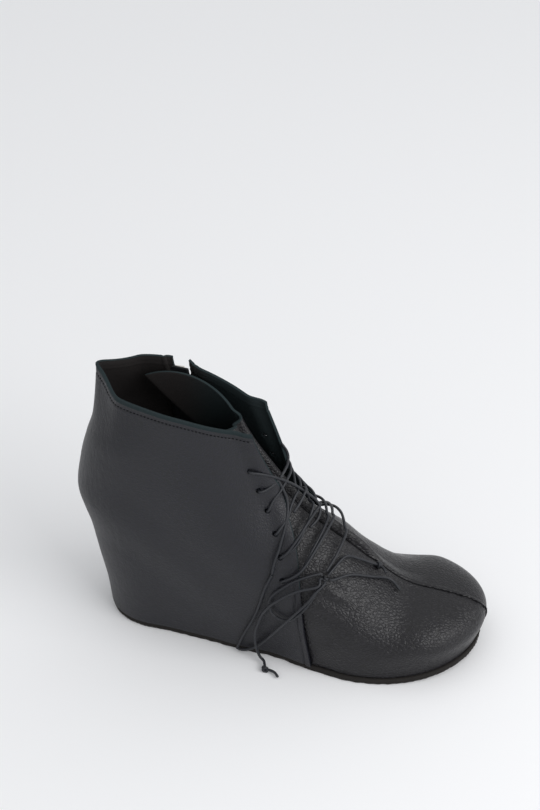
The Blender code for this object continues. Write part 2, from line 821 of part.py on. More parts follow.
def tube_mesh(name, path, radius, sides, closed=False):
    """A round tube along a path, with flat ends unless it is closed."""
    path = np.asarray(path, float)
    count = len(path)
    ahead = np.roll(path, -1, 0) - np.roll(path, 1, 0) if closed else np.gradient(path, axis=0)
    ahead /= np.linalg.norm(ahead, axis=1, keepdims=True)
    across = np.cross(ahead[0], [0.31, 0.52, 0.79])
    turn = np.linspace(0, 2 * math.pi, sides, endpoint=False)
    points = []
    for centre, direction in zip(path, ahead):
        across = across - direction * (across @ direction)
        across /= np.linalg.norm(across)
        other = np.cross(direction, across)
        points += [centre + radius * (math.cos(a) * across + math.sin(a) * other) for a in turn]
    faces = []
    for k in range(count if closed else count - 1):
        m = (k + 1) % count
        for c in range(sides):
            d = (c + 1) % sides
            faces.append([k * sides + c, k * sides + d, m * sides + d, m * sides + c])
    if not closed:
        faces.append(list(range(sides))[::-1])
        faces.append([(count - 1) * sides + c for c in range(sides)])
    return mesh_of(name, points, faces)


def hidden_part(mesh):
    """A body that a modifier of another object takes in or cuts away."""
    obj = bpy.data.objects.new(mesh.name, mesh)
    bpy.context.scene.collection.objects.link(obj)
    obj.hide_render = True
    obj.display_type = "WIRE"
    return obj


def combine(target, mesh, operation):
    change = target.modifiers.new(operation.lower(), "BOOLEAN")
    change.object = hidden_part(mesh)
    change.operation = operation
    change.solver = "EXACT"


def zip_x(z):
    return lerp(back_x(z), edge_x(z), zip_share(z))


def zip_frame():
    """The slider's place on the last, with rows across, out of the wall and up the zip."""
    high, low = (last_point(zip_x(z), z, 1) for z in (SLIDER_HEIGHT, SLIDER_HEIGHT - PULL_LENGTH))
    up = (high - low) / np.linalg.norm(high - low)
    out = last_normal(lerp(high, low, 0.3), INSTEP)
    out -= up * (out @ up)
    out /= np.linalg.norm(out)
    return high, np.stack([np.cross(out, up), out, up])


def make_zip_coil():
    rows = quarter_grid(1)[1][:, QUARTER_COLUMNS // 2]
    low_end = rows[rows > ZIP_BOTTOM].min() + 2 * PIECE_GAP
    z = np.linspace(low_end, SLIDER_HEIGHT - 0.3 * SLIDER_LENGTH, 22)
    across = np.array([-0.5, 0.5]) * ZIP_COIL_WIDTH
    x = zip_x(z)[:, None] + across
    z = np.broadcast_to(z[:, None], x.shape)
    low = last_point(x, z, 1, np.full(x.shape, ZIP_DEPTH)).reshape(-1, 3)
    high = last_point(x, z, 1, np.full(x.shape, ZIP_DEPTH + ZIP_COIL_HEIGHT)).reshape(-1, 3)
    mesh = shell_mesh("zip_coil", high, low, grid_faces(*x.shape))
    return new_object("zip_coil", mesh, (0.012, 0.013, 0.015), 0.5)


def zip_heights():
    """Distances out of the last: slider's plate, its pin."""
    plate = ZIP_DEPTH + ZIP_COIL_HEIGHT + PIECE_GAP
    pin = plate + SLIDER_PLATE + PIECE_GAP + LINK_BAR + PIN_RADIUS + PIECE_GAP
    return plate, pin


def make_zip_slider():
    centre, axes = zip_frame()
    plate, pin = zip_heights()
    half, reach = SLIDER_WIDTH / 2, SLIDER_LENGTH / 2
    mesh = box_mesh("zip_slider", (-half, plate, -reach), (half, plate + SLIDER_PLATE, reach), axes, centre)
    slider = new_object("zip_slider", mesh, (0.78, 0.72, 0.66), 0.25, 1.0)
    ear = 1.0 * MM
    for side in (-1, 1):
        inside = side * (LINK_BAR / 2 + PIECE_GAP)
        outside = inside + side * ear
        low = (min(inside, outside), plate + SLIDER_PLATE / 2, -1.6 * MM)
        high = (max(inside, outside), pin + PIN_RADIUS + 0.4 * MM, 1.6 * MM)
        combine(slider, box_mesh("slider_ear", low, high, axes, centre), "UNION")
    neck_low = (-half + 0.5 * MM, plate - ZIP_COIL_HEIGHT, reach - 2 * MM)
    neck_high = (half - 0.5 * MM, plate + SLIDER_PLATE / 2, reach - 0.4 * MM)
    combine(slider, box_mesh("slider_neck", neck_low, neck_high, axes, centre), "UNION")
    reach_out = LINK_BAR / 2 + PIECE_GAP + ear / 2
    ends = centre + axes[1] * pin + np.array([[-1], [1]]) * axes[0] * reach_out
    combine(slider, tube_mesh("slider_pin", ends, PIN_RADIUS, 12), "UNION")
    return slider


def make_zip_link():
    """A stadium ring from the slider's pin to the pull's bar."""
    centre, axes = zip_frame()
    top = centre + axes[1] * zip_heights()[1]
    radius = PIN_RADIUS + PIECE_GAP + LINK_BAR / 2
    turn = np.linspace(0, math.pi, 9)
    arc = np.stack([np.cos(turn), np.sin(turn)], 1) * radius
    path = np.concatenate([arc, -arc + np.array([0, -LINK_LENGTH])])
    path = top + path[:, :1] * axes[1] + path[:, 1:] * axes[2]
    mesh = tube_mesh("zip_link", path, LINK_BAR / 2, 8, closed=True)
    link = new_object("zip_link", mesh, (0.78, 0.72, 0.66), 0.22, 1.0)
    place_origin(link, top)
    return link


def make_zip_pull():
    centre, axes = zip_frame()
    bar = centre + axes[1] * zip_heights()[1] - axes[2] * LINK_LENGTH
    half, thick = PULL_WIDTH / 2, PULL_THICKNESS / 2
    mesh = box_mesh("zip_pull", (-half, -thick, -PULL_LENGTH + PIN_RADIUS), (half, thick, 0), axes, bar)
    pull = new_object("zip_pull", mesh, (0.80, 0.76, 0.70), 0.18, 1.0)
    rail = 1.4 * MM
    low, high = (-half + rail, -2 * thick, -PULL_WINDOW), (half - rail, 2 * thick, 2 * MM)
    combine(pull, box_mesh("pull_window", low, high, axes, bar), "DIFFERENCE")
    ends = bar + np.array([[-1], [1]]) * axes[0] * (half - rail / 2)
    combine(pull, tube_mesh("pull_bar", ends, PIN_RADIUS, 12), "UNION")
    bevel = pull.modifiers.new("bevel", "BEVEL")
    bevel.width = 0.35 * MM
    bevel.segments = 1
    bevel.limit_method = "ANGLE"
    bevel.angle_limit = math.radians(50)
    place_origin(pull, bar)
    return pull


def place_origin(obj, point):
    """Moves an object's origin to a point, with its shape left where it is."""
    obj.data.transform(Matrix.Translation(-Vector(point)))
    obj.location = Vector(point)


# Laces


def laid(points, offset):
    """Points brought to a distance outside the last."""
    points = np.array(points, float)
    for _ in range(12):
        gradient = last_gradient(points, INSTEP)
        value = last_field(points, INSTEP)
        points -= gradient * (value / (gradient**2).sum(-1))[:, None]
    return points + last_normal(points, INSTEP) * offset


def eyelet_point(side, number):
    x, z = eyelet_places()
    return last_point(x[number], z[number], side)


def crossing_path(start, order):
    """A zigzag from side to side over the throat, through eyelet places, laid on the form."""
    places = [eyelet_point(start * (-1) ** k, number) for k, number in enumerate(order)]
    path = []
    for a, b in zip(places, places[1:]):
        share = np.linspace(0, 1, 9)[:-1, None]
        path.append(lerp(a, b, share))
    path.append(places[-1][None])
    return laid(np.concatenate(path), LACE_HEIGHT)


# The bow's cords over the outer side, from the knot on: share of the sole's length from its
# middle, share of the throat's height, and distance out from the form.
KNOT_PLACE = (0.112, 0.408, KNOT_RADIUS + PIECE_GAP)
SMALL_LOOP = [
    (0.046, 0.410, 4.5 * MM),
    (0.009, 0.375, 4.5 * MM),
    (-0.016, 0.335, 4.5 * MM),
    (-0.018, 0.290, 4.5 * MM),
    (-0.003, 0.250, 4.5 * MM),
    (0.034, 0.248, 4.5 * MM),
    (0.062, 0.285, 4.5 * MM),
    (0.086, 0.340, 4.5 * MM),
]
LONG_LOOP = [
    (0.091, 0.368, 7.5 * MM),
    (0.076, 0.335, 7.5 * MM),
    (0.031, 0.243, 7.5 * MM),
    (-0.048, 0.075, 4.4 * MM),
    (-0.083, 0.030, 4.4 * MM),
    (-0.110, 0.022, 4.0 * MM),
    (-0.106, 0.045, 4.0 * MM),
    (-0.093, 0.105, 4.0 * MM),
    (-0.060, 0.230, 4.0 * MM),
    (-0.036, 0.365, 4.0 * MM),
    (-0.022, 0.425, 4.0 * MM),
]
LOW_END = [
    (0.095, 0.390, 7.8 * MM),
    (0.045, 0.375, 7.8 * MM),
    (0.000, 0.330, 7.8 * MM),
    (-0.022, 0.290, 7.5 * MM),
    (-0.041, 0.240, 6.8 * MM),
    (-0.058, 0.150, 7.0 * MM),
    (-0.056, 0.080, 7.6 * MM),
    (-0.045, 0.030, 8.0 * MM),
    (-0.028, 0.018, 9.5 * MM),
    (-0.012, 0.013, 15.0 * MM),
]
TOE_END = [
    (0.169, 0.398, 2.4 * MM),
    (0.219, 0.360, 2.0 * MM),
    (0.262, 0.318, 1.6 * MM),
    (0.295, 0.286, 1.5 * MM),
]
THROAT_END = [
    (0.146, 0.446, 3.2 * MM),
    (0.177, 0.418, 2.8 * MM),
    (0.210, 0.382, 2.0 * MM),
    (0.228, 0.361, 1.8 * MM),
]

# Where each cord leaves the knot, and enters it again: shares forwards, up the form and out of it.
KNOT_EXITS = {
    "lace_loop_small": (-0.80, 0.50, 0.20),
    "lace_loop_long": (-0.10, -0.70, 0.70),
    "lace_end_low": (-0.75, -0.10, 0.65),
    "lace_end_toe": (1.00, 0.00, 0.00),
    "lace_end_throat": (0.50, 0.85, 0.00),
}
SMALL_LOOP_RETURN = (-0.45, -0.85, 0.00)


def smooth_path(points, spacing):
    """Evenly spaced points on a smooth curve through hand-chosen ones."""
    points = np.asarray(points, float)
    ends = np.concatenate([[2 * points[0] - points[1]], points, [2 * points[-1] - points[-2]]])
    fine = []
    for p0, p1, p2, p3 in zip(ends, ends[1:], ends[2:], ends[3:]):
        t = np.linspace(0, 1, 24, endpoint=False)[:, None]
        fine.append(
            0.5 * (2 * p1 + (p2 - p0) * t + (2 * p0 - 5 * p1 + 4 * p2 - p3) * t**2
                   + (3 * p1 - p0 - 3 * p2 + p3) * t**3)
        )
    fine = np.concatenate([*fine, points[-1:]])
    length = np.concatenate([[0], np.cumsum(np.linalg.norm(np.diff(fine, axis=0), axis=1))])
    count = max(6, round(length[-1] / spacing) + 1)
    even = np.linspace(0, length[-1], count)
    return np.stack([np.interp(even, length, fine[:, k]) for k in range(3)], 1)


def cord_places(table):
    rows = np.array(table)
    return last_point(rows[:, 0] * SOLE_LENGTH, rows[:, 1] * THROAT_HEIGHT, -1, rows[:, 2])


def make_cord(name, path):
    curve = bpy.data.curves.new(name, "CURVE")
    curve.dimensions = "3D"
    curve.bevel_depth = LACE_DIAMETER / 2
    curve.bevel_resolution = 2
    curve.use_fill_caps = True
    spline = curve.splines.new("POLY")
    spline.points.add(len(path) - 1)
    for point, place in zip(spline.points, path):
        point.co = (*place, 1)
    return new_object(name, curve, (0.015, 0.016, 0.018), 0.55)


def make_lump(name, centre, radius):
    """A small rounded knot."""
    bm = bmesh.new()
    bmesh.ops.create_icosphere(bm, subdivisions=2, radius=radius, matrix=Matrix.Translation(centre))
    mesh = bpy.data.meshes.new(name)
    bm.to_mesh(mesh)
    bm.free()
    mesh.shade_smooth()
    return new_object(name, mesh, (0.015, 0.016, 0.018), 0.55)


def knot_exit(knot, shares):
    """Two places of a cord, the first just off the knot and the next straight out from it."""
    out = last_normal(knot, INSTEP)
    forward = np.array([1.0, 0, 0]) - out * out[0]
    forward /= np.linalg.norm(forward)
    upward = np.cross(forward, out) * (1 if np.cross(forward, out)[2] > 0 else -1)
    direction = shares[0] * forward + shares[1] * upward + shares[2] * out
    direction /= np.linalg.norm(direction)
    reach = KNOT_RADIUS + 1.8 * PIECE_GAP + np.array([[0], [LACE_DIAMETER]])
    return knot + direction * reach


def make_bow():
    knot = cord_places([KNOT_PLACE])[0]
    make_lump("lace_knot", knot, KNOT_RADIUS)
    spacing = 2.9 * LACE_DIAMETER
    for name, table in (
        ("lace_loop_small", SMALL_LOOP),
        ("lace_loop_long", LONG_LOOP),
        ("lace_end_low", LOW_END),
        ("lace_end_toe", TOE_END),
        ("lace_end_throat", THROAT_END),
    ):
        places = [knot_exit(knot, KNOT_EXITS[name]), cord_places(table)]
        if name == "lace_loop_small":
            places.append(knot_exit(knot, SMALL_LOOP_RETURN)[::-1])
        make_cord(name, smooth_path(np.concatenate(places), spacing))


def make_lace_crossings():
    up = list(range(EYELET_PAIRS))[::-1]
    mesh = tube_mesh("lace_crossings", crossing_path(-1, up), LACE_DIAMETER / 2, 6)
    laces = new_object("lace_crossings", mesh, (0.015, 0.016, 0.018), 0.55)
    combine(laces, tube_mesh("crossing", crossing_path(1, up), LACE_DIAMETER / 2, 6), "UNION")
    low = [EYELET_PAIRS - 1, EYELET_PAIRS - 1]
    combine(laces, tube_mesh("crossing", crossing_path(-1, low), LACE_DIAMETER / 2, 6), "UNION")
    return laces


def eyelet_places():
    """Side-view places of the eyelets, top first."""
    z = np.linspace(EYELET_TOP, EYELET_BOTTOM, EYELET_PAIRS)
    return edge_x(z) - EYELET_MARGIN, z


def eyelet_cutters():
    cutters = []
    for side in (-1, 1):
        for x, z in zip(*eyelet_places()):
            place = last_point(x, z, side, QUARTER_WALL / 2)
            facing = Vector(last_normal(place, INSTEP))
            bm = bmesh.new()
            turn = facing.to_track_quat("Z", "Y").to_matrix().to_4x4()
            bmesh.ops.create_cone(
                bm,
                cap_ends=True,
                segments=8,
                radius1=EYELET_DIAMETER / 2,
                radius2=EYELET_DIAMETER / 2,
                depth=4 * QUARTER_WALL,
                matrix=Matrix.Translation(place) @ turn,
            )
            mesh = bpy.data.meshes.new("eyelet_cutter")
            bm.to_mesh(mesh)
            bm.free()
            cutter = bpy.data.objects.new("eyelet_cutter", mesh)
            bpy.context.scene.collection.objects.link(cutter)
            cutter.hide_render = True
            cutter.display_type = "WIRE"
            cutters.append(cutter)
    return cutters


def main():
    for obj in list(bpy.data.objects):
        bpy.data.objects.remove(obj)
    make_outsole()
    make_wedge()
    make_insole()
    make_upper()
    make_tongue()
    make_zip_coil()
    make_zip_slider()
    make_zip_link()
    make_zip_pull()
    make_lace_crossings()
    make_bow()


main()
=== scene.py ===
"""Looks of a lace-up wedge ankle shoe: leather, seams, stitches, laces, zip and sole.

Every leather piece is a grid laid on the shoe's last, the form that its solids were made over, so
its places are given as the solids' are: along the sole, up from the floor, and out of the form.
"""

import math

import bmesh
import bpy
import numpy as np
from mathutils import Matrix, Vector


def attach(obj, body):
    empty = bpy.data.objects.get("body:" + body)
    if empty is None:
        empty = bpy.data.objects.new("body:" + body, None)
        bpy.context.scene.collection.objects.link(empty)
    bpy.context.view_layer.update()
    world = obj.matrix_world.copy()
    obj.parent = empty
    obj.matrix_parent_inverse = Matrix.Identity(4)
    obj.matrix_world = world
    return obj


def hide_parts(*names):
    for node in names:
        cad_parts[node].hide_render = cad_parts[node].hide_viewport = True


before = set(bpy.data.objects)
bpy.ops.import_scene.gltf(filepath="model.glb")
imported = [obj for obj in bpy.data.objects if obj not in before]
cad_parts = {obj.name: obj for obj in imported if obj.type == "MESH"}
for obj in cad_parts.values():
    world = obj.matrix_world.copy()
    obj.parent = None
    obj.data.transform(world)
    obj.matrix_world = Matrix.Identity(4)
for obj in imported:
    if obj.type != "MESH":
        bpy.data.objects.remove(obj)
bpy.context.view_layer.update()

MM = 0.001

# Sole and last
SOLE_LENGTH = 238 * MM
BALL_WIDTH = 96 * MM
HEEL_WIDTH = 58 * MM
TOE_INSET = 10 * MM
OUTSOLE_THICKNESS = 4.2 * MM
OUTSOLE_EDGE = 0.8 * MM
TOE_SPRING = 4 * MM
TOE_OVERHANG = 5 * MM
TOE_HEIGHT = 41 * MM
TOE_DEPTH = 22 * MM
INSTEP_DEPTH = 46 * MM
HEEL_LIFT = 84 * MM
BALL_LIFT = 17 * MM
SIDE_SWELL = 6 * MM
FLOOR_FLAT = 5 * MM

# Shaft and collar
BACK_HEIGHT = 178 * MM
THROAT_HEIGHT = 160 * MM
HEEL_OVERHANG = 16.6 * MM
SHAFT_WIDTH = 60 * MM
SHAFT_DEPTH = 58 * MM
HEEL_ROUND = 34 * MM

# Leather
QUARTER_WALL = 1.8 * MM
VAMP_WALL = 1.6 * MM
PIECE_GAP = 0.35 * MM
SEAM_BAND = 11 * MM
SEAM_DROP = 3.5 * MM
TONGUE_DROP = 6 * MM
TONGUE_ARCH = 10 * MM
WING_DROP = 10 * MM
WING_REACH = 0.24
WING_LEAN = 0.42
JOINT_ALONG = 0.155

# Lacing and zip
EYELET_PAIRS = 6
EYELET_DIAMETER = 3.2 * MM
EYELET_MARGIN = 10.5 * MM
EYELET_DROP = 27 * MM
EYELET_BOTTOM = 64 * MM
LACE_DIAMETER = 1.8 * MM
KNOT_RADIUS = 2.4 * MM
ZIP_SLOT = 3.6 * MM
ZIP_NOTCH = 3.4 * MM
ZIP_BOTTOM = 36 * MM
SLIDER_DROP = 16 * MM

# Widths along the foot, as shares: of the sole's length from the heel, and of the ball's width.
# The heel's own width replaces the ball's where the heel column is 1.
OUTLINE = [
    # along, heel, sole_outer, sole_inner, foot_outer, foot_inner
    (0.00, 1.0, 0.50, 0.50, 0.52, 0.52),
    (0.16, 1.0, 0.52, 0.52, 0.545, 0.545),
    (0.30, 0.6, 0.45, 0.395, 0.475, 0.435),
    (0.45, 0.0, 0.385, 0.27, 0.390, 0.325),
    (0.60, 0.0, 0.470, 0.380, 0.475, 0.405),
    (0.72, 0.0, 0.520, 0.475, 0.52, 0.485),
    (0.86, 0.0, 0.495, 0.490, 0.50, 0.495),
    (1.00, 0.0, 0.455, 0.465, 0.46, 0.47),
]

# How the shaft narrows to the front: share of the sole's length from its middle, share of its width.
SHAFT_TAPER = [
    (-0.60, 1.00),
    (-0.44, 1.00),
    (-0.38, 0.95),
    (-0.28, 0.86),
    (-0.19, 0.79),
    (-0.09, 0.70),
    (0.10, 0.64),
]

# The back's line: height as a share of the back's, and how far it stands out of the heel.
BACK_LINE = [
    (0.00, 0.00),
    (0.12, 0.13),
    (0.26, 0.41),
    (0.39, 0.66),
    (0.48, 0.87),
    (0.55, 1.00),
    (0.66, 0.90),
    (0.76, 0.63),
    (0.845, 0.34),
    (1.00, 0.18),
]

# The instep's line: share of the sole's length from its middle, rise from toe to throat height.
INSTEP_LINE = [
    (-0.057, 1.21),
    (-0.050, 1.00),
    (-0.042, 0.815),
    (-0.025, 0.630),
    (0.013, 0.521),
    (0.069, 0.397),
    (0.107, 0.342),
    (0.147, 0.280),
    (0.183, 0.218),
    (0.221, 0.154),
    (0.251, 0.103),
    (0.292, 0.049),
    (0.336, 0.019),
    (0.400, 0.007),
    (0.500, 0.000),
    (0.570, 0.000),
]

# The tongue's middle line: height as a share of the throat's, share of the sole's length.
TONGUE_LINE = [
    (1.10, -0.172),
    (1.00, -0.155),
    (0.94, -0.138),
    (0.86, -0.108),
    (0.77, -0.066),
    (0.69, -0.026),
    (0.62, 0.016),
    (0.56, 0.060),
]

# The quarters' front edge: height as a share of the throat's, share of the sole's length.
QUARTER_EDGE = [
    (0.00, 0.101),
    (0.20, 0.077),
    (0.37, 0.056),
    (0.54, 0.026),
    (0.64, -0.004),
    (0.76, -0.038),
    (0.89, -0.066),
    (1.00, -0.086),
    (1.15, -0.112),
]

# The collar's rim: share of the way from the back to the corner, drop from back to throat height.
RIM = [
    (0.00, 0.00),
    (0.30, 0.10),
    (0.55, 0.32),
    (0.77, 0.68),
    (0.90, 0.90),
    (1.00, 1.00),
]

# The zip's line: height as a share of the back's, share of the way from the back to the front edge.
ZIP_LINE = [
    (0.00, 0.640),
    (0.18, 0.560),
    (0.31, 0.505),
    (0.53, 0.480),
    (0.73, 0.445),
    (0.92, 0.410),
    (1.05, 0.385),
]


# The last


def column(table, index):
    return [row[index] for row in table]


def smooth_table(x, xs, ys):
    """A smooth curve through a short table, with no overshoot between its rows."""
    xs, ys = np.asarray(xs, float), np.asarray(ys, float)
    x = np.clip(np.asarray(x, float), xs[0], xs[-1])
    step = np.diff(xs)
    slope = np.diff(ys) / step
    tangent = np.zeros(len(xs))
    tangent[0], tangent[-1] = slope[0], slope[-1]
    same = slope[:-1] * slope[1:] > 0
    total = np.where(same, slope[:-1] + slope[1:], 1)
    tangent[1:-1] = np.where(same, 2 * slope[:-1] * slope[1:] / total, 0)
    k = np.clip(np.searchsorted(xs, x, side="right") - 1, 0, len(step) - 1)
    t = (x - xs[k]) / step[k]
    a = (1 + 2 * t) * (1 - t) ** 2
    b = t * (1 - t) ** 2 * step[k]
    c = t * t * (3 - 2 * t)
    d = t * t * (t - 1) * step[k]
    return a * ys[k] + b * tangent[k] + c * ys[k + 1] + d * tangent[k + 1]


def follow(table, x, index=1):
    """The smooth curve through a table's first column and another of its columns."""
    return smooth_table(x, column(table, 0), column(table, index))


def lengths_along(path):
    """How far along a path each of its points is."""
    return np.concatenate([[0], np.cumsum(np.linalg.norm(np.diff(path, axis=0), axis=1))])


def points_at(path, length, wanted):
    """The points of a path at given distances along it."""
    return np.stack([np.interp(wanted, length, row) for row in path.T], -1)


def smoothstep(t):
    t = np.clip(t, 0, 1)
    return t * t * (3 - 2 * t)


def lerp(a, b, t):
    return a + (b - a) * t


def near(distance, reach):
    """1 at no distance, falling smoothly to 0 at the reach."""
    return smoothstep(1 - distance / reach)


def ridge(distance, width):
    """1 on a line, falling smoothly to 0 at a distance on both sides."""
    return near(np.abs(distance), width)


def normed(vectors):
    return vectors / np.linalg.norm(vectors, axis=-1, keepdims=True)


def back_x(z):
    """Where the back's line is at a height."""
    out = follow(BACK_LINE, z / BACK_HEIGHT)
    return -SOLE_LENGTH / 2 - HEEL_OVERHANG * out


def edge_x(z):
    """Where the quarters' front edge is at a height."""
    return SOLE_LENGTH * follow(QUARTER_EDGE, z / THROAT_HEIGHT)


def spring(x):
    """How far the sole is off the floor: nothing as far as the ball, then up to the toe."""
    start, end = 0.26 * SOLE_LENGTH, 0.5 * SOLE_LENGTH
    return TOE_SPRING * np.clip((x - start) / (end - start), 0, 1.1) ** 2


def floor_of_upper(x):
    return OUTSOLE_THICKNESS + spring(x) + PIECE_GAP


def bed_z(x):
    """Height of the wedge's top, which the insole lies on."""
    drop = smooth_table(
        x / SOLE_LENGTH, [-0.5, -0.32, -0.15, 0.02, 0.16, 0.5], [1.0, 0.97, 0.72, 0.36, 0.0, 0.0]
    )
    return lerp(BALL_LIFT, HEEL_LIFT, drop) + spring(x)


def instep_curve():
    along = np.linspace(0, 1, 181)
    rows = np.linspace(0, 1, len(INSTEP_LINE))
    x = SOLE_LENGTH * smooth_table(along, rows, column(INSTEP_LINE, 0))
    z = lerp(TOE_HEIGHT, THROAT_HEIGHT, smooth_table(along, rows, column(INSTEP_LINE, 1)))
    return np.stack([x, z], 1)


def tongue_curve():
    """The instep's line as far up as the vamp's joint, and the tongue's own line above it."""
    up = np.linspace(0, 1, 61)
    rows = np.linspace(0, 1, len(TONGUE_LINE))
    z = THROAT_HEIGHT * smooth_table(up, rows, column(TONGUE_LINE, 0))
    x = SOLE_LENGTH * smooth_table(up, rows, column(TONGUE_LINE, 1))
    below = INSTEP[INSTEP[:, 0] > (JOINT_ALONG - 0.059) * SOLE_LENGTH]
    return np.concatenate([np.stack([x, z], 1), below])


INSTEP = instep_curve()
TONGUE = tongue_curve()


def line_distance(line, x, z):
    """Distance from a point of the side view to a line of it, positive below and behind."""
    p = np.stack([x, z], -1)[..., None, :]
    a, b = line[:-1], line[1:]
    ab = b - a
    t = np.clip(((p - a) * ab).sum(-1) / (ab**2).sum(-1), 0, 1)
    away = p - (a + t[..., None] * ab)
    k = np.argmin((away**2).sum(-1), axis=-1)
    nearest = np.take_along_axis(away, k[..., None, None], -2)[..., 0, :]
    side = ab[k][..., 0] * nearest[..., 1] - ab[k][..., 1] * nearest[..., 0]
    return np.where(side < 0, 1, -1) * np.sqrt((nearest**2).sum(-1))


def middle_y(x):
    """The last's middle line bends inwards from the ball to the toe."""
    return TOE_INSET * np.clip(x / SOLE_LENGTH + 0.5, 0, 1.05) ** 2.5


def base_half_width(x, z, side):
    """Half width before the toe, heel and top are rounded: sole, then foot, then shaft.

    side is -1 on the outer side and 1 on the inner side.
    """
    along = x / SOLE_LENGTH + 0.5
    unit = lerp(BALL_WIDTH, HEEL_WIDTH, follow(OUTLINE, along))
    outer = np.asarray(side) < 0
    sole = unit * np.where(outer, follow(OUTLINE, along, 2), follow(OUTLINE, along, 3))
    foot = unit * np.where(outer, follow(OUTLINE, along, 4), follow(OUTLINE, along, 5))
    bed = bed_z(x)
    low = smoothstep((z - OUTSOLE_THICKNESS) / (bed - OUTSOLE_THICKNESS + SIDE_SWELL))
    high = smoothstep((z - bed) / (0.62 * BACK_HEIGHT))
    taper = follow(SHAFT_TAPER, x / SOLE_LENGTH)
    shaft = lerp(foot, taper * SHAFT_WIDTH / 2, smoothstep((0.22 - x / SOLE_LENGTH) / 0.25))
    return lerp(lerp(sole, foot, low), shaft, high)


TOE_POWER, HEEL_POWER, SIDE_POWER = 2.6, 2.3, 2.15
INSTEP_POWER, TOE_TOP_POWER = 2.15, 3.0
TOE_ROUND = 0.27 * SOLE_LENGTH


def fullness(x, z, line):
    """1 well inside the side view's outline, falling to 0 on it."""
    forward = smoothstep((x / SOLE_LENGTH - 0.18) / 0.2)
    up = smoothstep((z / THROAT_HEIGHT - 0.55) / 0.4)
    depth = lerp(lerp(INSTEP_DEPTH, SHAFT_DEPTH, up), TOE_DEPTH, forward)
    top = np.clip(1 - line_distance(line, x, z) / depth, 0, 2)
    lift = smoothstep((z - OUTSOLE_THICKNESS) / (0.5 * TOE_HEIGHT))
    tip = SOLE_LENGTH / 2 + TOE_OVERHANG * lift
    toe = np.clip(1 - (tip - x) / TOE_ROUND, 0, 2)
    back = np.clip(1 - (x - back_x(z)) / HEEL_ROUND, 0, 2)
    top_power = lerp(INSTEP_POWER, TOE_TOP_POWER, forward)
    return 1 - top**top_power - toe**TOE_POWER - back**HEEL_POWER


def half_width(x, z, side, line):
    full = fullness(x, z, line)
    full = np.where(full < 3e-5, 0, full)
    return base_half_width(x, z, side) * full ** (1 / SIDE_POWER)


def last_field(p, line):
    """Below 0 inside the last, 0 on it and above 0 outside."""
    x, y, z = np.moveaxis(p, -1, 0)
    off = y - middle_y(x)
    width = base_half_width(x, z, np.where(off < 0, -1, 1))
    return (np.abs(off) / width) ** SIDE_POWER - fullness(x, z, line)


def last_gradient(p, line):
    step = 0.2 * MM
    rises = [last_field(p + step * axis, line) - last_field(p - step * axis, line) for axis in np.eye(3)]
    return np.stack(rises, -1) / (2 * step)


def last_normal(p, line):
    """Unit normal of the last at points on it, pointing outwards."""
    return normed(last_gradient(p, line))


def last_point(x, z, side, offset=0.0, line=INSTEP):
    """The point of the last at a place of the side view, moved out along its normal."""
    x, z, side = np.broadcast_arrays(np.asarray(x, float), np.asarray(z, float), np.asarray(side))
    y = middle_y(x) + side * half_width(x, z, side, line)
    p = np.stack([x, y, z], -1)
    out = last_normal(p, line)
    out[..., 2] *= smoothstep((z - floor_of_upper(x)) / FLOOR_FLAT)
    return p + normed(out) * np.asarray(offset)[..., None]


def solve(function, low, high):
    """Where a function that falls through 0 does so between low and high."""
    low, high = np.array(low, float), np.array(high, float)
    for _ in range(26):
        middle = (low + high) / 2
        inside = function(middle) > 0
        low, high = np.where(inside, middle, low), np.where(inside, high, middle)
    return (low + high) / 2


def crown_z(x):
    """Height of the last's middle line over a place of the sole."""
    x = np.asarray(x, float)
    low = np.full_like(x, OUTSOLE_THICKNESS)
    return solve(lambda z: fullness(x, z, INSTEP), low, np.full_like(x, THROAT_HEIGHT))


def toe_x(z):
    """How far forward the last's middle line reaches at a height."""
    z = np.asarray(z, float)
    low = np.full_like(z, 0.3 * SOLE_LENGTH)
    return solve(lambda x: fullness(x, z, INSTEP), low, np.full_like(z, 0.5 * SOLE_LENGTH + TOE_OVERHANG))


def rim_z(along):
    return lerp(BACK_HEIGHT, THROAT_HEIGHT, follow(RIM, along))


def seam_top():
    """Height where the quarters' front edge leaves the vamp, under the lowest eyelet."""
    return EYELET_BOTTOM - SEAM_DROP


def zip_share(z):
    return follow(ZIP_LINE, z / BACK_HEIGHT)


def zip_x(z):
    return lerp(back_x(z), edge_x(z), zip_share(z))


def laid(points, offset, line=INSTEP):
    """Points brought to a distance outside the last."""
    points = np.array(points, float)
    for _ in range(12):
        gradient = last_gradient(points, line)
        value = last_field(points, line)
        points -= gradient * (value / (gradient**2).sum(-1))[:, None]
    return points + last_normal(points, line) * np.asarray(offset)[..., None]


# Shading


class Value:
    """A shader socket that Python's operators work on."""

    def __init__(self, shading, socket):
        self.shading = shading
        self.socket = socket

    def math(self, operation, *values):
        return self.shading.node("ShaderNodeMath", {"operation": operation}, list(values))

    def __add__(self, other):
        return self.math("ADD", self, other)

    __radd__ = __add__

    def __rsub__(self, other):
        return self.math("SUBTRACT", other, self)

    def __mul__(self, other):
        return self.math("MULTIPLY", self, other)

    __rmul__ = __mul__


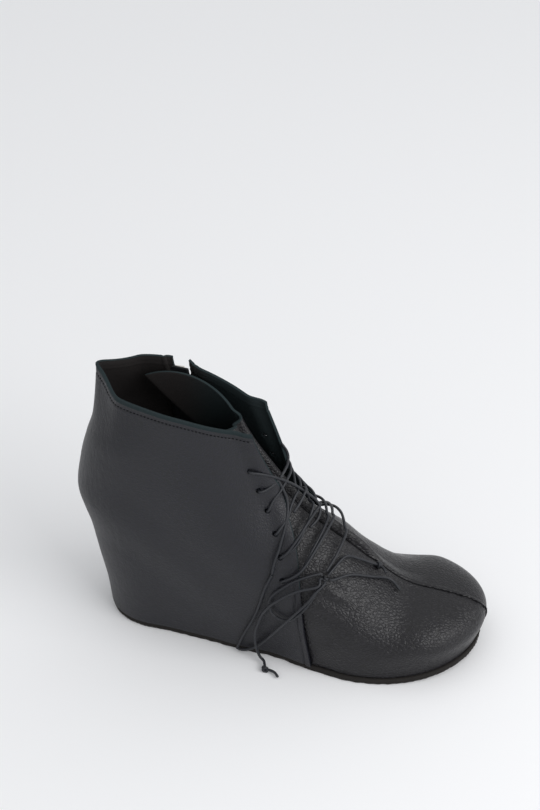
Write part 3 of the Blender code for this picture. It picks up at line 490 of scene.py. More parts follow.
class Shading:
    """One material's nodes, with the shader at their end."""

    def __init__(self, name):
        self.material = bpy.data.materials.new(name)
        self.material.use_nodes = True
        self.tree = self.material.node_tree
        self.shader = self.tree.nodes["Principled BSDF"]

    def feed(self, socket, value):
        """Links a socket to a value, or sets it to a number or colour."""
        if isinstance(value, Value):
            self.tree.links.new(value.socket, socket)
        elif isinstance(value, tuple) and socket.type == "RGBA":
            socket.default_value = (*value, 1)
        else:
            socket.default_value = value

    def node(self, kind, settings, values, output=0):
        """A node of a kind, with its settings made first and its sockets fed after."""
        made = self.tree.nodes.new(kind)
        for key, setting in settings.items():
            if key == "stops":
                self.set_stops(made.color_ramp, setting)
            else:
                setattr(made, key, setting)
        pairs = values.items() if isinstance(values, dict) else enumerate(values)
        for key, value in pairs:
            self.feed(made.inputs[key], value)
        return Value(self, made.outputs[output])

    def set_stops(self, ramp, stops):
        while len(ramp.elements) > 1:
            ramp.elements.remove(ramp.elements[-1])
        ramp.elements[0].position, shade = stops[0]
        ramp.elements[0].color = (shade, shade, shade, 1)
        for position, shade in stops[1:]:
            ramp.elements.new(position).color = (shade, shade, shade, 1)

    def place(self, scale=(1, 1, 1), turn=(0, 0, 0)):
        """Object coordinates, scaled and turned."""
        where = self.node("ShaderNodeTexCoord", {}, {}, "Object")
        return self.node("ShaderNodeMapping", {}, {"Vector": where, "Scale": scale, "Rotation": turn})

    def along(self, axis, start, end):
        """0 before a place along an axis of the part and 1 past another, smooth between."""
        where = self.node("ShaderNodeTexCoord", {}, {}, "Object")
        value = self.node("ShaderNodeSeparateXYZ", {}, {0: where}, axis)
        settings = {"interpolation_type": "SMOOTHSTEP"}
        values = {"Value": value, "From Min": start, "From Max": end}
        return self.node("ShaderNodeMapRange", settings, values)

    def noise(self, where, scale, detail=2.0, roughness=0.5):
        values = {"Vector": where, "Scale": scale, "Detail": detail, "Roughness": roughness}
        return self.node("ShaderNodeTexNoise", {}, values)

    def pebbles(self, where, scale):
        """Rounded uneven cells with narrow valleys between them."""
        drift = self.node("ShaderNodeTexNoise", {}, {"Vector": where, "Scale": scale / 2}, "Color")
        shift = 0.9 / scale
        settings = {"operation": "MULTIPLY_ADD"}
        uneven = self.node("ShaderNodeVectorMath", settings, [drift, (shift, shift, shift), where])
        values = {"Vector": uneven, "Scale": scale}
        edge = self.node("ShaderNodeTexVoronoi", {"feature": "DISTANCE_TO_EDGE"}, values, "Distance")
        return self.node("ShaderNodeValToRGB", {"stops": [(0.0, 0.0), (0.16, 0.5), (0.5, 1.0)]}, [edge])

    def blend(self, a, b, mask):
        """Colour a where the mask is 0 and b where it is 1."""
        return self.node("ShaderNodeMix", {"data_type": "RGBA"}, {0: mask, 6: a, 7: b}, 2)

    def finish(self, colour, roughness, height=None, depth=0.2 * MM, **constants):
        """Gives the shader its colour, roughness, bump and plain numbers."""
        self.feed(self.shader.inputs["Base Color"], colour)
        self.feed(self.shader.inputs["Roughness"], roughness)
        if height is not None:
            bump = self.node("ShaderNodeBump", {}, {"Strength": 1.0, "Distance": depth, "Height": height})
            self.feed(self.shader.inputs["Normal"], bump)
        for name, value in constants.items():
            self.shader.inputs[name.replace("_", " ")].default_value = value
        return self.material


def fine_grain_leather():
    """The quarters: dark slate, small even grain with fine wrinkles at the back, a dull wax finish."""
    s = Shading("fine_grain_leather")
    where = s.place()
    grain = s.pebbles(where, 640)
    drift = s.noise(where, 420, 3.0)
    cloud = s.noise(where, 26, 2.0)
    wrinkle = s.noise(s.place((1, 1, 0.35), (0.5, 0.4, 0.0)), 330, 2.0)
    rear = 1 - s.along("X", -118 * MM, -70 * MM)
    colour = s.blend((0.0025, 0.0028, 0.009), (0.0062, 0.0066, 0.0155), cloud)
    # Darker in the grain's valleys: painted shade there, over the grain's own tone.
    colour = s.blend((0.002, 0.0024, 0.0035), colour, grain * 0.85 + 0.15)
    height = grain * 0.6 + drift * 0.8 + wrinkle * rear * 1.6
    return s.finish(colour, 0.38 + drift * 0.12, height, 0.25 * MM, Specular_IOR_Level=0.5)


def pebbled_leather():
    """The vamp and tongue: blacker, with a soft pebble grain and a low gloss."""
    s = Shading("pebbled_leather")
    where = s.place()
    warp = s.noise(where, 240, 2.0)
    pebble = s.pebbles(s.place((0.8, 1.2, 1.2)), 430)
    small = s.pebbles(where, 1150)
    cloud = s.noise(where, 45, 2.0)
    # Darker valleys and lighter pebble tops: painted shade and painted light on the grain, over its own
    # tone.
    colour = s.blend((0.0015, 0.0012, 0.0022), (0.0065, 0.0056, 0.0088), pebble)
    height = pebble * 0.9 + warp * 0.9 + small * 0.2
    return s.finish(colour, 0.27 + cloud * 0.12, height, 0.27 * MM, Specular_IOR_Level=0.44)


def lining_leather():
    """The inside: brown-black at the heel, undyed dark green-grey flesh side at the front."""
    s = Shading("lining_leather")
    nap = s.noise(s.place(), 1100, 3.0)
    brown = s.blend((0.010, 0.0085, 0.0085), (0.020, 0.017, 0.0165), nap)
    green = s.blend((0.007, 0.012, 0.0135), (0.014, 0.022, 0.024), nap)
    colour = s.blend(brown, green, s.along("X", -80 * MM, -50 * MM))
    return s.finish(colour, 0.75, nap, 0.12 * MM, Specular_IOR_Level=0.3)


def cork_block():
    s = Shading("cork_block")
    grain = s.pebbles(s.place(), 420)
    colour = s.blend((0.16, 0.10, 0.055), (0.38, 0.27, 0.17), grain)
    return s.finish(colour, 0.85, grain, 0.2 * MM)


def fibrous(name, dark, light, fibre, roughness, depth, gloss):
    """A matte material with one fine noise for its colour and its bump."""
    s = Shading(name)
    noise = s.noise(s.place(), *fibre)
    colour = s.blend(dark, light, noise)
    return s.finish(colour, roughness, noise, depth, Specular_IOR_Level=gloss)


def plated(name, colour, roughness, spread):
    """A polished metal with a faint haze."""
    s = Shading(name)
    haze = s.noise(s.place(), 90, 2.0)
    return s.finish(colour, roughness + haze * spread, Metallic=1.0)


def stitch_thread():
    s = Shading("stitch_thread")
    # The same dark thread also makes the cord of painted shade in the vamp's middle groove.
    return s.finish((0.002, 0.002, 0.003), 0.7, Specular_IOR_Level=0.15)


def zip_nylon():
    s = Shading("zip_nylon")
    weave = s.noise(s.place(), 1600, 2.0)
    return s.finish((0.009, 0.010, 0.012), 0.5, weave, 0.08 * MM)


# Meshes


def add_object(name, data):
    obj = bpy.data.objects.new(name, data)
    bpy.context.scene.collection.objects.link(obj)
    return obj


def mesh_object(bm, name, materials):
    """A new object made of a bmesh, with its materials."""
    mesh = bpy.data.meshes.new(name)
    bm.to_mesh(mesh)
    bm.free()
    for material in materials:
        mesh.materials.append(material)
    return add_object(name, mesh)


def piece_of(bm, name, materials):
    """A finished smooth piece that rides on the shoe."""
    obj = mesh_object(bm, name, materials)
    obj.data.shade_smooth()
    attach(obj, "shoe")
    return obj


def laid_grid(columns, rows, place):
    """A grid whose unit square is laid out by place(u, v)."""
    bm = bmesh.new()
    bm.loops.layers.uv.new("UVMap")
    bmesh.ops.create_grid(bm, x_segments=columns, y_segments=rows, size=0.5, calc_uvs=True)
    square = np.array([vert.co[:2] for vert in bm.verts]) + 0.5
    for vert, point in zip(bm.verts, place(square[:, 0], square[:, 1])):
        vert.co = point
    return bm, square


def face_out(bm):
    """Turns an open sheet's faces away from the last."""
    bm.normal_update()
    sample = [face for face in bm.faces if face.calc_area() > 0][:: max(1, len(bm.faces) // 200)]
    centres = np.array([face.calc_center_median() for face in sample])
    normals = np.array([face.normal for face in sample])
    if (last_normal(centres, INSTEP) * normals).sum() < 0:
        bmesh.ops.reverse_faces(bm, faces=bm.faces)


def mark_edges(bm, above):
    """Gives the faces along the sheet's cut edges, above a height, the raw edge's material."""
    for edge in bm.edges:
        if edge.is_boundary and min(vert.co.z for vert in edge.verts) > above:
            edge.link_faces[0].material_index = 1


def give_wall(obj, wall, edge_round):
    """Thickens a sheet inwards. Its inside takes the material two slots on."""
    solid = obj.modifiers.new("wall", "SOLIDIFY")
    solid.thickness = wall
    solid.offset = -1
    solid.use_even_offset = False
    solid.material_offset = 2
    rounding = obj.modifiers.new("edge", "BEVEL")
    rounding.width = edge_round
    rounding.segments = 2
    rounding.limit_method = "ANGLE"
    rounding.angle_limit = math.radians(62)


def add_tube(bm, path, radius, sides=10):
    """A tube along a path, rolled up from a grid. The radius may differ from place to place."""
    path = np.asarray(path, float)
    tangent = normed(np.gradient(path, axis=0))
    across = np.cross(tangent[0], [0.31, 0.52, 0.79])
    frames = []
    for t in tangent:
        across = normed(across - t * (across @ t))
        frames.append((across, np.cross(t, across)))
    first, second = np.moveaxis(np.array(frames), 1, 0)
    made = bmesh.ops.create_grid(bm, x_segments=len(path) - 1, y_segments=sides, size=0.5)["verts"]
    square = np.array([vert.co[:2] for vert in made]) + 0.5
    row = np.round(square[:, 0] * (len(path) - 1)).astype(int)
    turn = 2 * math.pi * square[:, 1, None]
    thick = np.broadcast_to(radius, len(path))[row, None]
    places = path[row] + thick * (np.cos(turn) * first[row] + np.sin(turn) * second[row])
    for vert, place in zip(made, places):
        vert.co = place


def add_bead(bm, place, first, second, size, sides):
    """A bead, given by its first two axes and its three half sizes."""
    turned = Matrix((first, second, first.cross(second))).transposed().to_4x4()
    matrix = Matrix.Translation(place) @ turned @ Matrix.Diagonal((*size, 1))
    bmesh.ops.create_uvsphere(bm, u_segments=sides, v_segments=6, radius=1, matrix=matrix)


def close_tubes(bm):
    """Joins the tubes' long seams and closes their ends."""
    bmesh.ops.remove_doubles(bm, verts=bm.verts, dist=0.004 * MM)
    ends = [edge for edge in bm.edges if edge.is_boundary]
    bmesh.ops.holes_fill(bm, edges=ends, sides=0)
    bmesh.ops.recalc_face_normals(bm, faces=bm.faces)


# Quarters

SIDE_COLUMNS = 118
REAR_COLUMNS = 66
FRONT_COLUMNS = 78
QUARTER_COLUMNS = SIDE_COLUMNS + REAR_COLUMNS + 1 + FRONT_COLUMNS
QUARTER_ROWS = 112
BAND = 3.4 * MM
WELT = 6.5 * MM
PLACKET = 13 * MM
COLLAR_EDGE = 2.5 * MM
COLLAR_STITCH = 5.4 * MM
BAND_RISE = 0.55 * MM
WELT_RISE = 1.1 * MM
COLLAR_CURL = 0.5 * MM
FOLD_RISE = 1.5 * MM
PEAK_RISE = 5.5 * MM
FLAP_RISE = 5.5 * MM
CORNER_BACK = 2.6 * MM
THROAT_OPEN = 4.6 * MM
PANEL_LEAN = 3.6 * MM


def slow_start(t):
    """Shares that start closely spaced."""
    return (1 - np.cos(0.8 * math.pi * t)) / (1 - math.cos(0.8 * math.pi))


def from_edge(t, length, near, share):
    """Distance from an edge at t from 0 to 1, with a share of the steps within near of it."""
    far = near + (length - near) * (1 - slow_start(np.clip(1 - (t - share) / (1 - share), 0, 1)))
    return np.where(t < share, near * t / share, far)


def between_edges(t, length, near, share, last, last_share):
    """Distance from one edge towards another, closely spaced at both."""
    middle = near + (length - near - last) * (t - share) / (1 - share - last_share)
    end = length - last * (1 - t) / last_share
    return np.where(t < share, near * t / share, np.where(t < 1 - last_share, middle, end))


def slot_half(z):
    """Half the zip slot's width, closed to a point at its lower end."""
    return ZIP_SLOT / 2 * smoothstep((z - ZIP_BOTTOM) / (22 * MM))


def notch(z):
    """How far the slot's front side is cut back at the collar."""
    return 2.2 * ZIP_NOTCH * smoothstep((z / BACK_HEIGHT - 0.86) / 0.07)


def quarter_place(u, v):
    """Side-view place: from the outer front edge round the back to the slot and the inner front edge."""
    k = np.round(u * QUARTER_COLUMNS)
    outer = k <= SIDE_COLUMNS
    behind_slot = k <= SIDE_COLUMNS + REAR_COLUMNS
    rear = np.clip((k - SIDE_COLUMNS) / REAR_COLUMNS, 0, 1)
    front = np.clip((k - SIDE_COLUMNS - REAR_COLUMNS - 1) / FRONT_COLUMNS, 0, 1)
    up = np.where(v < 0.86, v / 0.86 * 0.945, 0.945 + (v - 0.86) / 0.14 * 0.055)
    share = np.where(outer, 1 - k / SIDE_COLUMNS, 0.5)
    for _ in range(4):
        share = np.clip(share, 0, 1)
        floor = floor_of_upper(lerp(back_x(0.0), edge_x(0.0), share))
        z = lerp(floor, rim_z(share), up)
        length = edge_x(z) - back_x(z)
        half = slot_half(z)
        slot = zip_share(z) * length
        lateral = length - from_edge(np.clip(k / SIDE_COLUMNS, 0, 1), length, 8 * MM, 0.17)
        behind = slot - half - from_edge(1 - rear, slot - half, 10 * MM, 0.36)
        opening = slot + half + notch(z)
        ahead = opening + between_edges(front, length - opening, 16 * MM, 0.36, 7 * MM, 0.16)
        share = np.where(outer, lateral, np.where(behind_slot, behind, ahead)) / length
    x = lerp(back_x(z), edge_x(z), share)
    return x, z, np.where(outer, -1, 1)


# The soft fold where the shaft passes into the wedge, on the outer side: along the sole from its
# middle, and height.
FOLD = [
    (-125 * MM, 95 * MM),
    (-100 * MM, 87 * MM),
    (-82 * MM, 73 * MM),
    (-65 * MM, 59 * MM),
    (-43 * MM, 45 * MM),
    (-20 * MM, 34 * MM),
]


def fold_height(x, z):
    """A broad low swell along the fold, fading towards its front end."""
    away = (z - follow(FOLD, x)) * 0.8
    return FOLD_RISE * ridge(away, 22 * MM) * smoothstep((-12 * MM - x) / (45 * MM))


def collar_drop(x, z):
    """How far a place is below the collar's rim."""
    return rim_z(np.clip((x - back_x(z)) / (edge_x(z) - back_x(z)), 0, 1)) - z


def quarter_relief(x, z, side):
    """How far the face stands out: front band, zip welt, stitched lines, curled collar edge, fold."""
    to_edge = edge_x(z) - x
    below = smoothstep((seam_top() + 3 * MM - z) / (4 * MM))
    out = BAND_RISE * below * smoothstep((BAND - to_edge) / (0.5 * MM))
    out -= BAND_RISE * below * ridge(to_edge - BAND - 0.9 * MM, 1.1 * MM)
    behind_zip = zip_x(z) - x
    zipped = (side > 0) * smoothstep((z - ZIP_BOTTOM + 8 * MM) / (10 * MM))
    across = (behind_zip - WELT / 2) / (WELT / 2)
    out += zipped * WELT_RISE * np.sqrt(np.clip(1 - across**2, 0, 1))
    out -= zipped * 0.5 * MM * ridge(behind_zip - WELT - 0.5 * MM, 1.1 * MM)
    out -= zipped * 0.45 * MM * ridge(-behind_zip - PLACKET, 0.9 * MM)
    drop = collar_drop(x, z)
    out += COLLAR_CURL * near(drop, 3.2 * MM)
    out -= 0.3 * MM * ridge(drop - COLLAR_STITCH, 1.2 * MM)
    out += (side < 0) * fold_height(x, z)
    return out


def bent(points, x, z, side):
    """The quarters' own shape beyond the last.

    The collar is pinched to a peak at the back, the front edges stand off the throat with their
    corners drawn back, and the inner front panel leans in and rises beside the zip.
    """
    points = np.array(points, float)
    top = smoothstep((z / BACK_HEIGHT - 0.78) / 0.22)
    behind = x - back_x(z)
    pinch = 0.30 * near(behind, 56 * MM) + 0.42 * near(behind, 20 * MM)
    middle = middle_y(points[..., 0])
    points[..., 1] = middle + (points[..., 1] - middle) * (1 - top * pinch)
    points[..., 2] += PEAK_RISE * top * near(behind, 17 * MM)
    to_edge = edge_x(z) - x
    corner = smoothstep((z / THROAT_HEIGHT - 0.74) / 0.26)
    points[..., 0] -= CORNER_BACK * corner * near(to_edge, 34 * MM)
    open_throat = smoothstep((z - seam_top() - 8 * MM) / (24 * MM))
    points[..., 1] += side * THROAT_OPEN * open_throat * near(to_edge, 13 * MM)
    ahead = x - zip_x(z)
    inner = (side > 0) * top * smoothstep((ahead - 5 * MM) / (14 * MM))
    points[..., 1] -= PANEL_LEAN * inner
    flap = (side > 0) * (ahead > 0) * near(ahead, 16 * MM)
    points[..., 2] += FLAP_RISE * top * flap
    return points


def quarter_point(x, z, side, out=0.0):
    """A place on the quarters' outer face, or a distance out of it."""
    face = QUARTER_WALL + PIECE_GAP + quarter_relief(x, z, side) + out
    return bent(last_point(x, z, side, face), x, z, side)


def make_quarters(leather, edge, lining):
    def place(u, v):
        return quarter_point(*quarter_place(u, v))

    bm, square = laid_grid(QUARTER_COLUMNS, QUARTER_ROWS, place)
    slot_from = (SIDE_COLUMNS + REAR_COLUMNS) / QUARTER_COLUMNS
    slot_to = slot_from + 1 / QUARTER_COLUMNS
    x, z, _ = quarter_place(square[:, 0], square[:, 1])
    rim = collar_drop(x, z)
    open_faces = []
    for face in bm.faces:
        index = [vert.index for vert in face.verts]
        if slot_from < square[index, 0].mean() < slot_to and z[index].min() > ZIP_BOTTOM:
            open_faces.append(face)
        elif rim[index].max() < COLLAR_EDGE:
            face.material_index = 1
    bmesh.ops.delete(bm, geom=open_faces, context="FACES")
    bmesh.ops.remove_doubles(bm, verts=bm.verts, dist=0.02 * MM)
    face_out(bm)
    mark_edges(bm, seam_top())
    quarters = piece_of(bm, "quarters", [leather, edge, lining, lining])
    give_wall(quarters, QUARTER_WALL, 0.4 * MM)
    punch(quarters, edge)
    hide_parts("upper")
    return quarters


def eyelet(side, number, out=0.0):
    """A punched hole's place, at a distance out of the quarters' face."""
    z = np.linspace(THROAT_HEIGHT - EYELET_DROP, EYELET_BOTTOM, EYELET_PAIRS)[number]
    return quarter_point(edge_x(z) - EYELET_MARGIN, z, side, out)


def punch(quarters, edge):
    """Cuts the eyelets through the quarters."""
    bm = bmesh.new()
    for side in (-1, 1):
        for number in range(EYELET_PAIRS):
            place = eyelet(side, number, -QUARTER_WALL / 2)
            facing = Vector(last_normal(place, INSTEP)).to_track_quat("Z", "Y").to_matrix().to_4x4()
            bmesh.ops.create_cone(
                bm,
                cap_ends=True,
                segments=24,
                radius1=EYELET_DIAMETER / 2,
                radius2=EYELET_DIAMETER / 2,
                depth=4 * QUARTER_WALL,
                matrix=Matrix.Translation(place) @ facing,
            )
    punches = mesh_object(bm, "eyelet_punch", [edge])
    cut = quarters.modifiers.new("eyelets", "BOOLEAN")
    cut.object = punches
    cut.operation = "DIFFERENCE"
    cut.solver = "EXACT"
    with bpy.context.temp_override(object=quarters, active_object=quarters, selected_objects=[quarters]):
        for modifier in list(quarters.modifiers):
            bpy.ops.object.modifier_apply(modifier=modifier.name)
    bpy.data.objects.remove(punches)


# Vamp and tongue

VAMP_STATIONS = 200
VAMP_ACROSS = 190
SEAM_GROOVE = 0.4 * MM
INSTEP_GROOVE = 2.2 * MM
INNER_RIDGE = 2.3 * MM
INNER_HOLLOW = 3.5 * MM


def share_along(points, share):
    """The places of a line at shares of the way along it."""
    length = lengths_along(points)
    return points_at(points, length / length[-1], share)


def vamp_edges(s):
    """The sheet's middle and outer lines in the side view, from the toe up to the tongue's top.

    The outer line runs back along the sole, up under the quarter and along the tongue's wing.
    """
    toe_z = np.linspace(floor_of_upper(0.5 * SOLE_LENGTH), TOE_HEIGHT * 0.55, 14)
    front = np.stack([toe_x(toe_z), toe_z], 1)
    top_x = np.linspace(front[-1, 0] - 0.6 * MM, JOINT_ALONG * SOLE_LENGTH, 90)
    top = np.stack([top_x, crown_z(top_x)], 1)
    up = TONGUE[np.argsort(TONGUE[:, 1])]
    rise = np.linspace(top[-1, 1] + 1 * MM, THROAT_HEIGHT - TONGUE_DROP, 60)
    tongue = np.stack([np.interp(rise, up[:, 1], up[:, 0]), rise], 1)
    sole_x = np.linspace(front[0, 0], edge_x(0.0) - 1.2 * SEAM_BAND, 60)
    sole = np.stack([sole_x, floor_of_upper(sole_x)], 1)
    wing_z = BACK_HEIGHT - WING_DROP
    wing = np.array([lerp(back_x(wing_z), edge_x(wing_z), WING_REACH), wing_z])
    hidden_z = np.linspace(sole[-1, 1] + 2 * MM, seam_top(), 20)
    hidden = np.stack([edge_x(hidden_z) - 1.2 * SEAM_BAND, hidden_z], 1)
    back = lerp(hidden[-1], wing, np.linspace(0, 1, 30)[1:, None])
    outer_share = smooth_table(s, [0, 0.10, 0.30, 0.46, 0.62, 1.0], [0, 0.22, 0.36, 0.43, 0.56, 1.0])
    middle = share_along(np.concatenate([front, top, tongue]), s)
    return middle, share_along(np.concatenate([sole, hidden, back]), outer_share)


# Creases of the vamp's outer side in the side view: start and end as shares of the sole's length
# from its middle and of the toe's height, then half width and height out of the form.
CREASES = [
    (0.105, 1.62, 0.185, 1.36, 3.0 * MM, -0.7 * MM),
    (0.100, 1.38, 0.205, 1.12, 2.6 * MM, -0.6 * MM),
    (0.095, 1.14, 0.170, 0.94, 2.4 * MM, -0.5 * MM),
    (0.110, 1.50, 0.190, 1.24, 2.2 * MM, 0.5 * MM),
    (0.100, 1.26, 0.180, 1.02, 2.2 * MM, 0.45 * MM),
    (0.150, 1.30, 0.235, 1.16, 2.0 * MM, -0.4 * MM),
    (0.128, 0.98, 0.150, 0.55, 3.5 * MM, -0.6 * MM),
]

# Broad soft forms of the vamp's outer side: centre as above, radius, height out of the form.
SWELLS = [
    (0.215, 0.90, 20 * MM, 1.5 * MM),
    (0.325, 0.85, 17 * MM, -1.3 * MM),
    (0.425, 0.60, 17 * MM, 0.9 * MM),
    (0.120, 0.70, 12 * MM, -0.9 * MM),
]


def outer_forms(x, z):
    p = np.stack([x, z], -1)
    out = np.zeros_like(x)
    for x0, z0, x1, z1, width, height in CREASES:
        a = np.array([x0 * SOLE_LENGTH, z0 * TOE_HEIGHT])
        b = np.array([x1 * SOLE_LENGTH, z1 * TOE_HEIGHT])
        t = np.clip(((p - a) @ (b - a)) / ((b - a) @ (b - a)), 0, 1)
        away = np.linalg.norm(p - (a + t[..., None] * (b - a)), axis=-1)
        fade = smoothstep(np.minimum(t, 1 - t) / 0.25)
        out += height * near(away, width) * (0.2 + 0.8 * fade)
    for x0, z0, radius, height in SWELLS:
        centre = np.array([x0 * SOLE_LENGTH, z0 * TOE_HEIGHT])
        out += height * near(np.linalg.norm(p - centre, axis=-1), radius)
    return out


def vamp_relief(x, z, off, side):
    """Middle seam, the inner half's ridge beside it, the hollow of the inner side and the creases."""
    instep = smoothstep((58 * MM - x) / (16 * MM))
    out = -SEAM_GROOVE * near(off, 1.3 * MM)
    out += 0.3 * MM * (side > 0) * ridge(off - 2.2 * MM, 1.6 * MM)
    out -= instep * INSTEP_GROOVE * near(off, 3.4 * MM)
    out += instep * (side > 0) * INNER_RIDGE * ridge(off - 4.9 * MM, 4.4 * MM)
    hollow = smoothstep((x - 22 * MM) / (22 * MM)) * smoothstep((88 * MM - x) / (24 * MM))
    hollow *= smoothstep((off - 3 * MM) / (9 * MM)) * smoothstep((z - 26 * MM) / (14 * MM))
    out -= (side > 0) * INNER_HOLLOW * hollow
    out += (side < 0) * outer_forms(x, z) * smoothstep(off / (5 * MM))
    return out


def vamp_place(u, v):
    """A place of the vamp and tongue: u from the toe up to the tongue's top, v across to the inner side."""
    side = np.where(v < 0.5, -1, 1)
    across = np.abs(2 * v - 1)
    t = lerp(across, across**2, 0.6) ** SIDE_POWER
    middle, outer = vamp_edges(u)
    x, z = lerp(middle, outer, t[:, None]).T
    top = smoothstep((u - 0.7) / 0.3) ** 2
    z = z + top * np.where(side > 0, TONGUE_ARCH * 4 * t * (1 - t), -9 * MM * smoothstep(t / 0.5))
    tongue = smoothstep((z - seam_top() - 6 * MM) / (16 * MM))
    off = lerp(half_width(x, z, side, INSTEP), half_width(x, z, side, TONGUE), tongue)
    out = vamp_relief(x, z, off, side) - 0.8 * MM * tongue
    points = last_point(x, z, side, out)
    upper = tongue > 0
    leaned = last_point(x[upper], z[upper], side[upper], out[upper], TONGUE)
    points[upper] = lerp(points[upper], leaned, tongue[upper, None])
    lean = np.where(side > 0, 1, 0.1) * WING_LEAN * smoothstep((u - 0.5) / 0.5) ** 3 * t
    centre = middle_y(points[:, 0])
    points[:, 1] = centre + (points[:, 1] - centre) * (1 - lean)
    return points


def make_vamp(leather, edge, lining):
    bm, _ = laid_grid(VAMP_STATIONS, VAMP_ACROSS, vamp_place)
    bmesh.ops.remove_doubles(bm, verts=bm.verts, dist=0.02 * MM)
    face_out(bm)
    mark_edges(bm, THROAT_HEIGHT / 2)
    vamp = piece_of(bm, "vamp_and_tongue", [leather, edge, lining, lining])
    give_wall(vamp, VAMP_WALL, 0.3 * MM)
    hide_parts("upper", "tongue")
    return vamp


def make_seam_shade(thread):
    """A dark cord at the bottom of the middle groove, wider over the instep: the closing seam's thread, and
    painted shade of the groove.
    """
    u = np.linspace(0.012, 0.93, 260)
    line = vamp_place(u, np.full(u.shape, 0.5))
    wide = smoothstep((58 * MM - line[:, 0]) / (16 * MM))
    radius = lerp(0.45 * MM, 0.9 * MM, wide)
    bm = bmesh.new()
    add_tube(bm, line + last_normal(line, INSTEP) * 0.1 * radius[:, None], radius, 8)
    close_tubes(bm)
    seam = piece_of(bm, "middle_seam_shade", [thread])


# Stitches

STITCH_PITCH = 2.3 * MM
STITCH_LENGTH = 1.6 * MM
STITCH_RADIUS = 0.36 * MM


def resampled(path, pitch):
    """Places along a path at an even pitch."""
    length = lengths_along(path)
    return points_at(path, length, np.arange(pitch / 2, length[-1], pitch))


def make_stitches(thread):
    """Rows along the collar, both sides of the zip and the strip ahead of it."""
    share = np.linspace(0.0, 0.985, 120)
    rows = []
    for side in (-1, 1):
        z = rim_z(share) - COLLAR_STITCH
        x = lerp(back_x(z), edge_x(z), share)
        clear = (side < 0) | (np.abs(x - zip_x(z) - notch(z) / 2) > 5 * MM + notch(z) / 2)
        line = quarter_point(x, z, np.full(share.shape, side), 0.1 * MM)
        split = np.flatnonzero(np.diff(clear.astype(int))) + 1
        parts = zip(np.split(line, split), np.split(clear, split))
        rows += [part for part, keep in parts if keep[0]]
    for shift, low in ((-WELT - 2.0 * MM, 6 * MM), (3.2 * MM, 2 * MM), (PLACKET + 1.6 * MM, -8 * MM)):
        z = np.linspace(ZIP_BOTTOM + low, rim_z(0.5) - 10 * MM, 120)
        x = zip_x(z) + shift + (notch(z) if shift > 0 else 0)
        rows.append(quarter_point(x, z, np.full(z.shape, 1), 0.1 * MM))
    bm = bmesh.new()
    for row in rows:
        places = resampled(row, STITCH_PITCH)
        normals = last_normal(places, INSTEP)
        for place, ahead, out in zip(places, np.gradient(places, axis=0), normals):
            ahead = Vector(ahead).normalized()
            across = Vector(out).cross(ahead).normalized()
            add_bead(bm, place, ahead, across, (STITCH_LENGTH / 2, STITCH_RADIUS, STITCH_RADIUS), 8)
    stitches = piece_of(bm, "stitches", [thread])


# Sole

SOLE_COUNT = 170
RIB_PITCH = 2.7 * MM

# The sole's side from the floor up: height, distance out of its rim, depth of the ribs.
SOLE_SIDE = [
    (0.00 * MM, -1.00 * MM, 0.00 * MM),
    (0.00 * MM, -0.30 * MM, 0.05 * MM),
    (0.35 * MM, 0.30 * MM, 0.18 * MM),
    (1.00 * MM, 0.55 * MM, 0.24 * MM),
    (1.90 * MM, 0.60 * MM, 0.12 * MM),
    (2.60 * MM, 0.55 * MM, 0.00 * MM),
    (3.50 * MM, 0.55 * MM, 0.00 * MM),
    (4.00 * MM, 0.35 * MM, 0.00 * MM),
    (OUTSOLE_THICKNESS, -0.20 * MM, 0.00 * MM),
    (OUTSOLE_THICKNESS, -2.40 * MM, 0.00 * MM),
]


def sole_loop(count):
    """The sole's rim: a closed loop round the last at the sole's top."""
    along = (1 - np.cos(np.linspace(0, math.pi, count + 1))) / 2
    start = back_x(OUTSOLE_THICKNESS)
    end = toe_x(OUTSOLE_THICKNESS + spring(0.5 * SOLE_LENGTH))
    x = lerp(start, end, along)
    level = OUTSOLE_THICKNESS + spring(x)
    outer = last_point(x, level, -1, OUTSOLE_EDGE)
    inner = last_point(x, level, 1, OUTSOLE_EDGE)
    return np.concatenate([outer, inner[-2:0:-1]])


def make_outsole(rubber):
    """The sole, with a rounded top lip and a slightly ribbed lower edge."""
    rim = sole_loop(SOLE_COUNT)
    ahead = np.roll(rim, -1, 0) - np.roll(rim, 1, 0)
    out = normed(np.stack([ahead[:, 1], -ahead[:, 0], np.zeros(len(rim))], 1))
    if ((rim[:, :2] - rim[:, :2].mean(0)) * out[:, :2]).sum() < 0:
        out = -out
    around = lengths_along(rim) / RIB_PITCH * 2 * math.pi
    rib = np.sin(around) + 0.5 * np.sin(around / 4.1)
    bm = bmesh.new()
    loops = []
    for level, push, depth in SOLE_SIDE:
        loop = rim + out * (push + depth * rib)[:, None]
        loop[:, 2] = level + spring(rim[:, 0])
        verts = [bm.verts.new(place) for place in loop]
        loops.append([bm.edges.new(pair) for pair in zip(verts, verts[1:] + verts[:1])])
    for low, high in zip(loops, loops[1:]):
        bmesh.ops.bridge_loops(bm, edges=low + high)
    for rim_edges in (loops[0], loops[-1]):
        bmesh.ops.triangle_fill(bm, use_beauty=True, edges=rim_edges)
    bmesh.ops.recalc_face_normals(bm, faces=bm.faces)
    sole = piece_of(bm, "sole_band", [rubber])
    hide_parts("outsole")


# Zip

TOOTH_PITCH = 1.15 * MM
TOOTH_LENGTH = 2.5 * MM
TOOTH_RADIUS = 0.42 * MM
TAPE_HALF = 8 * MM


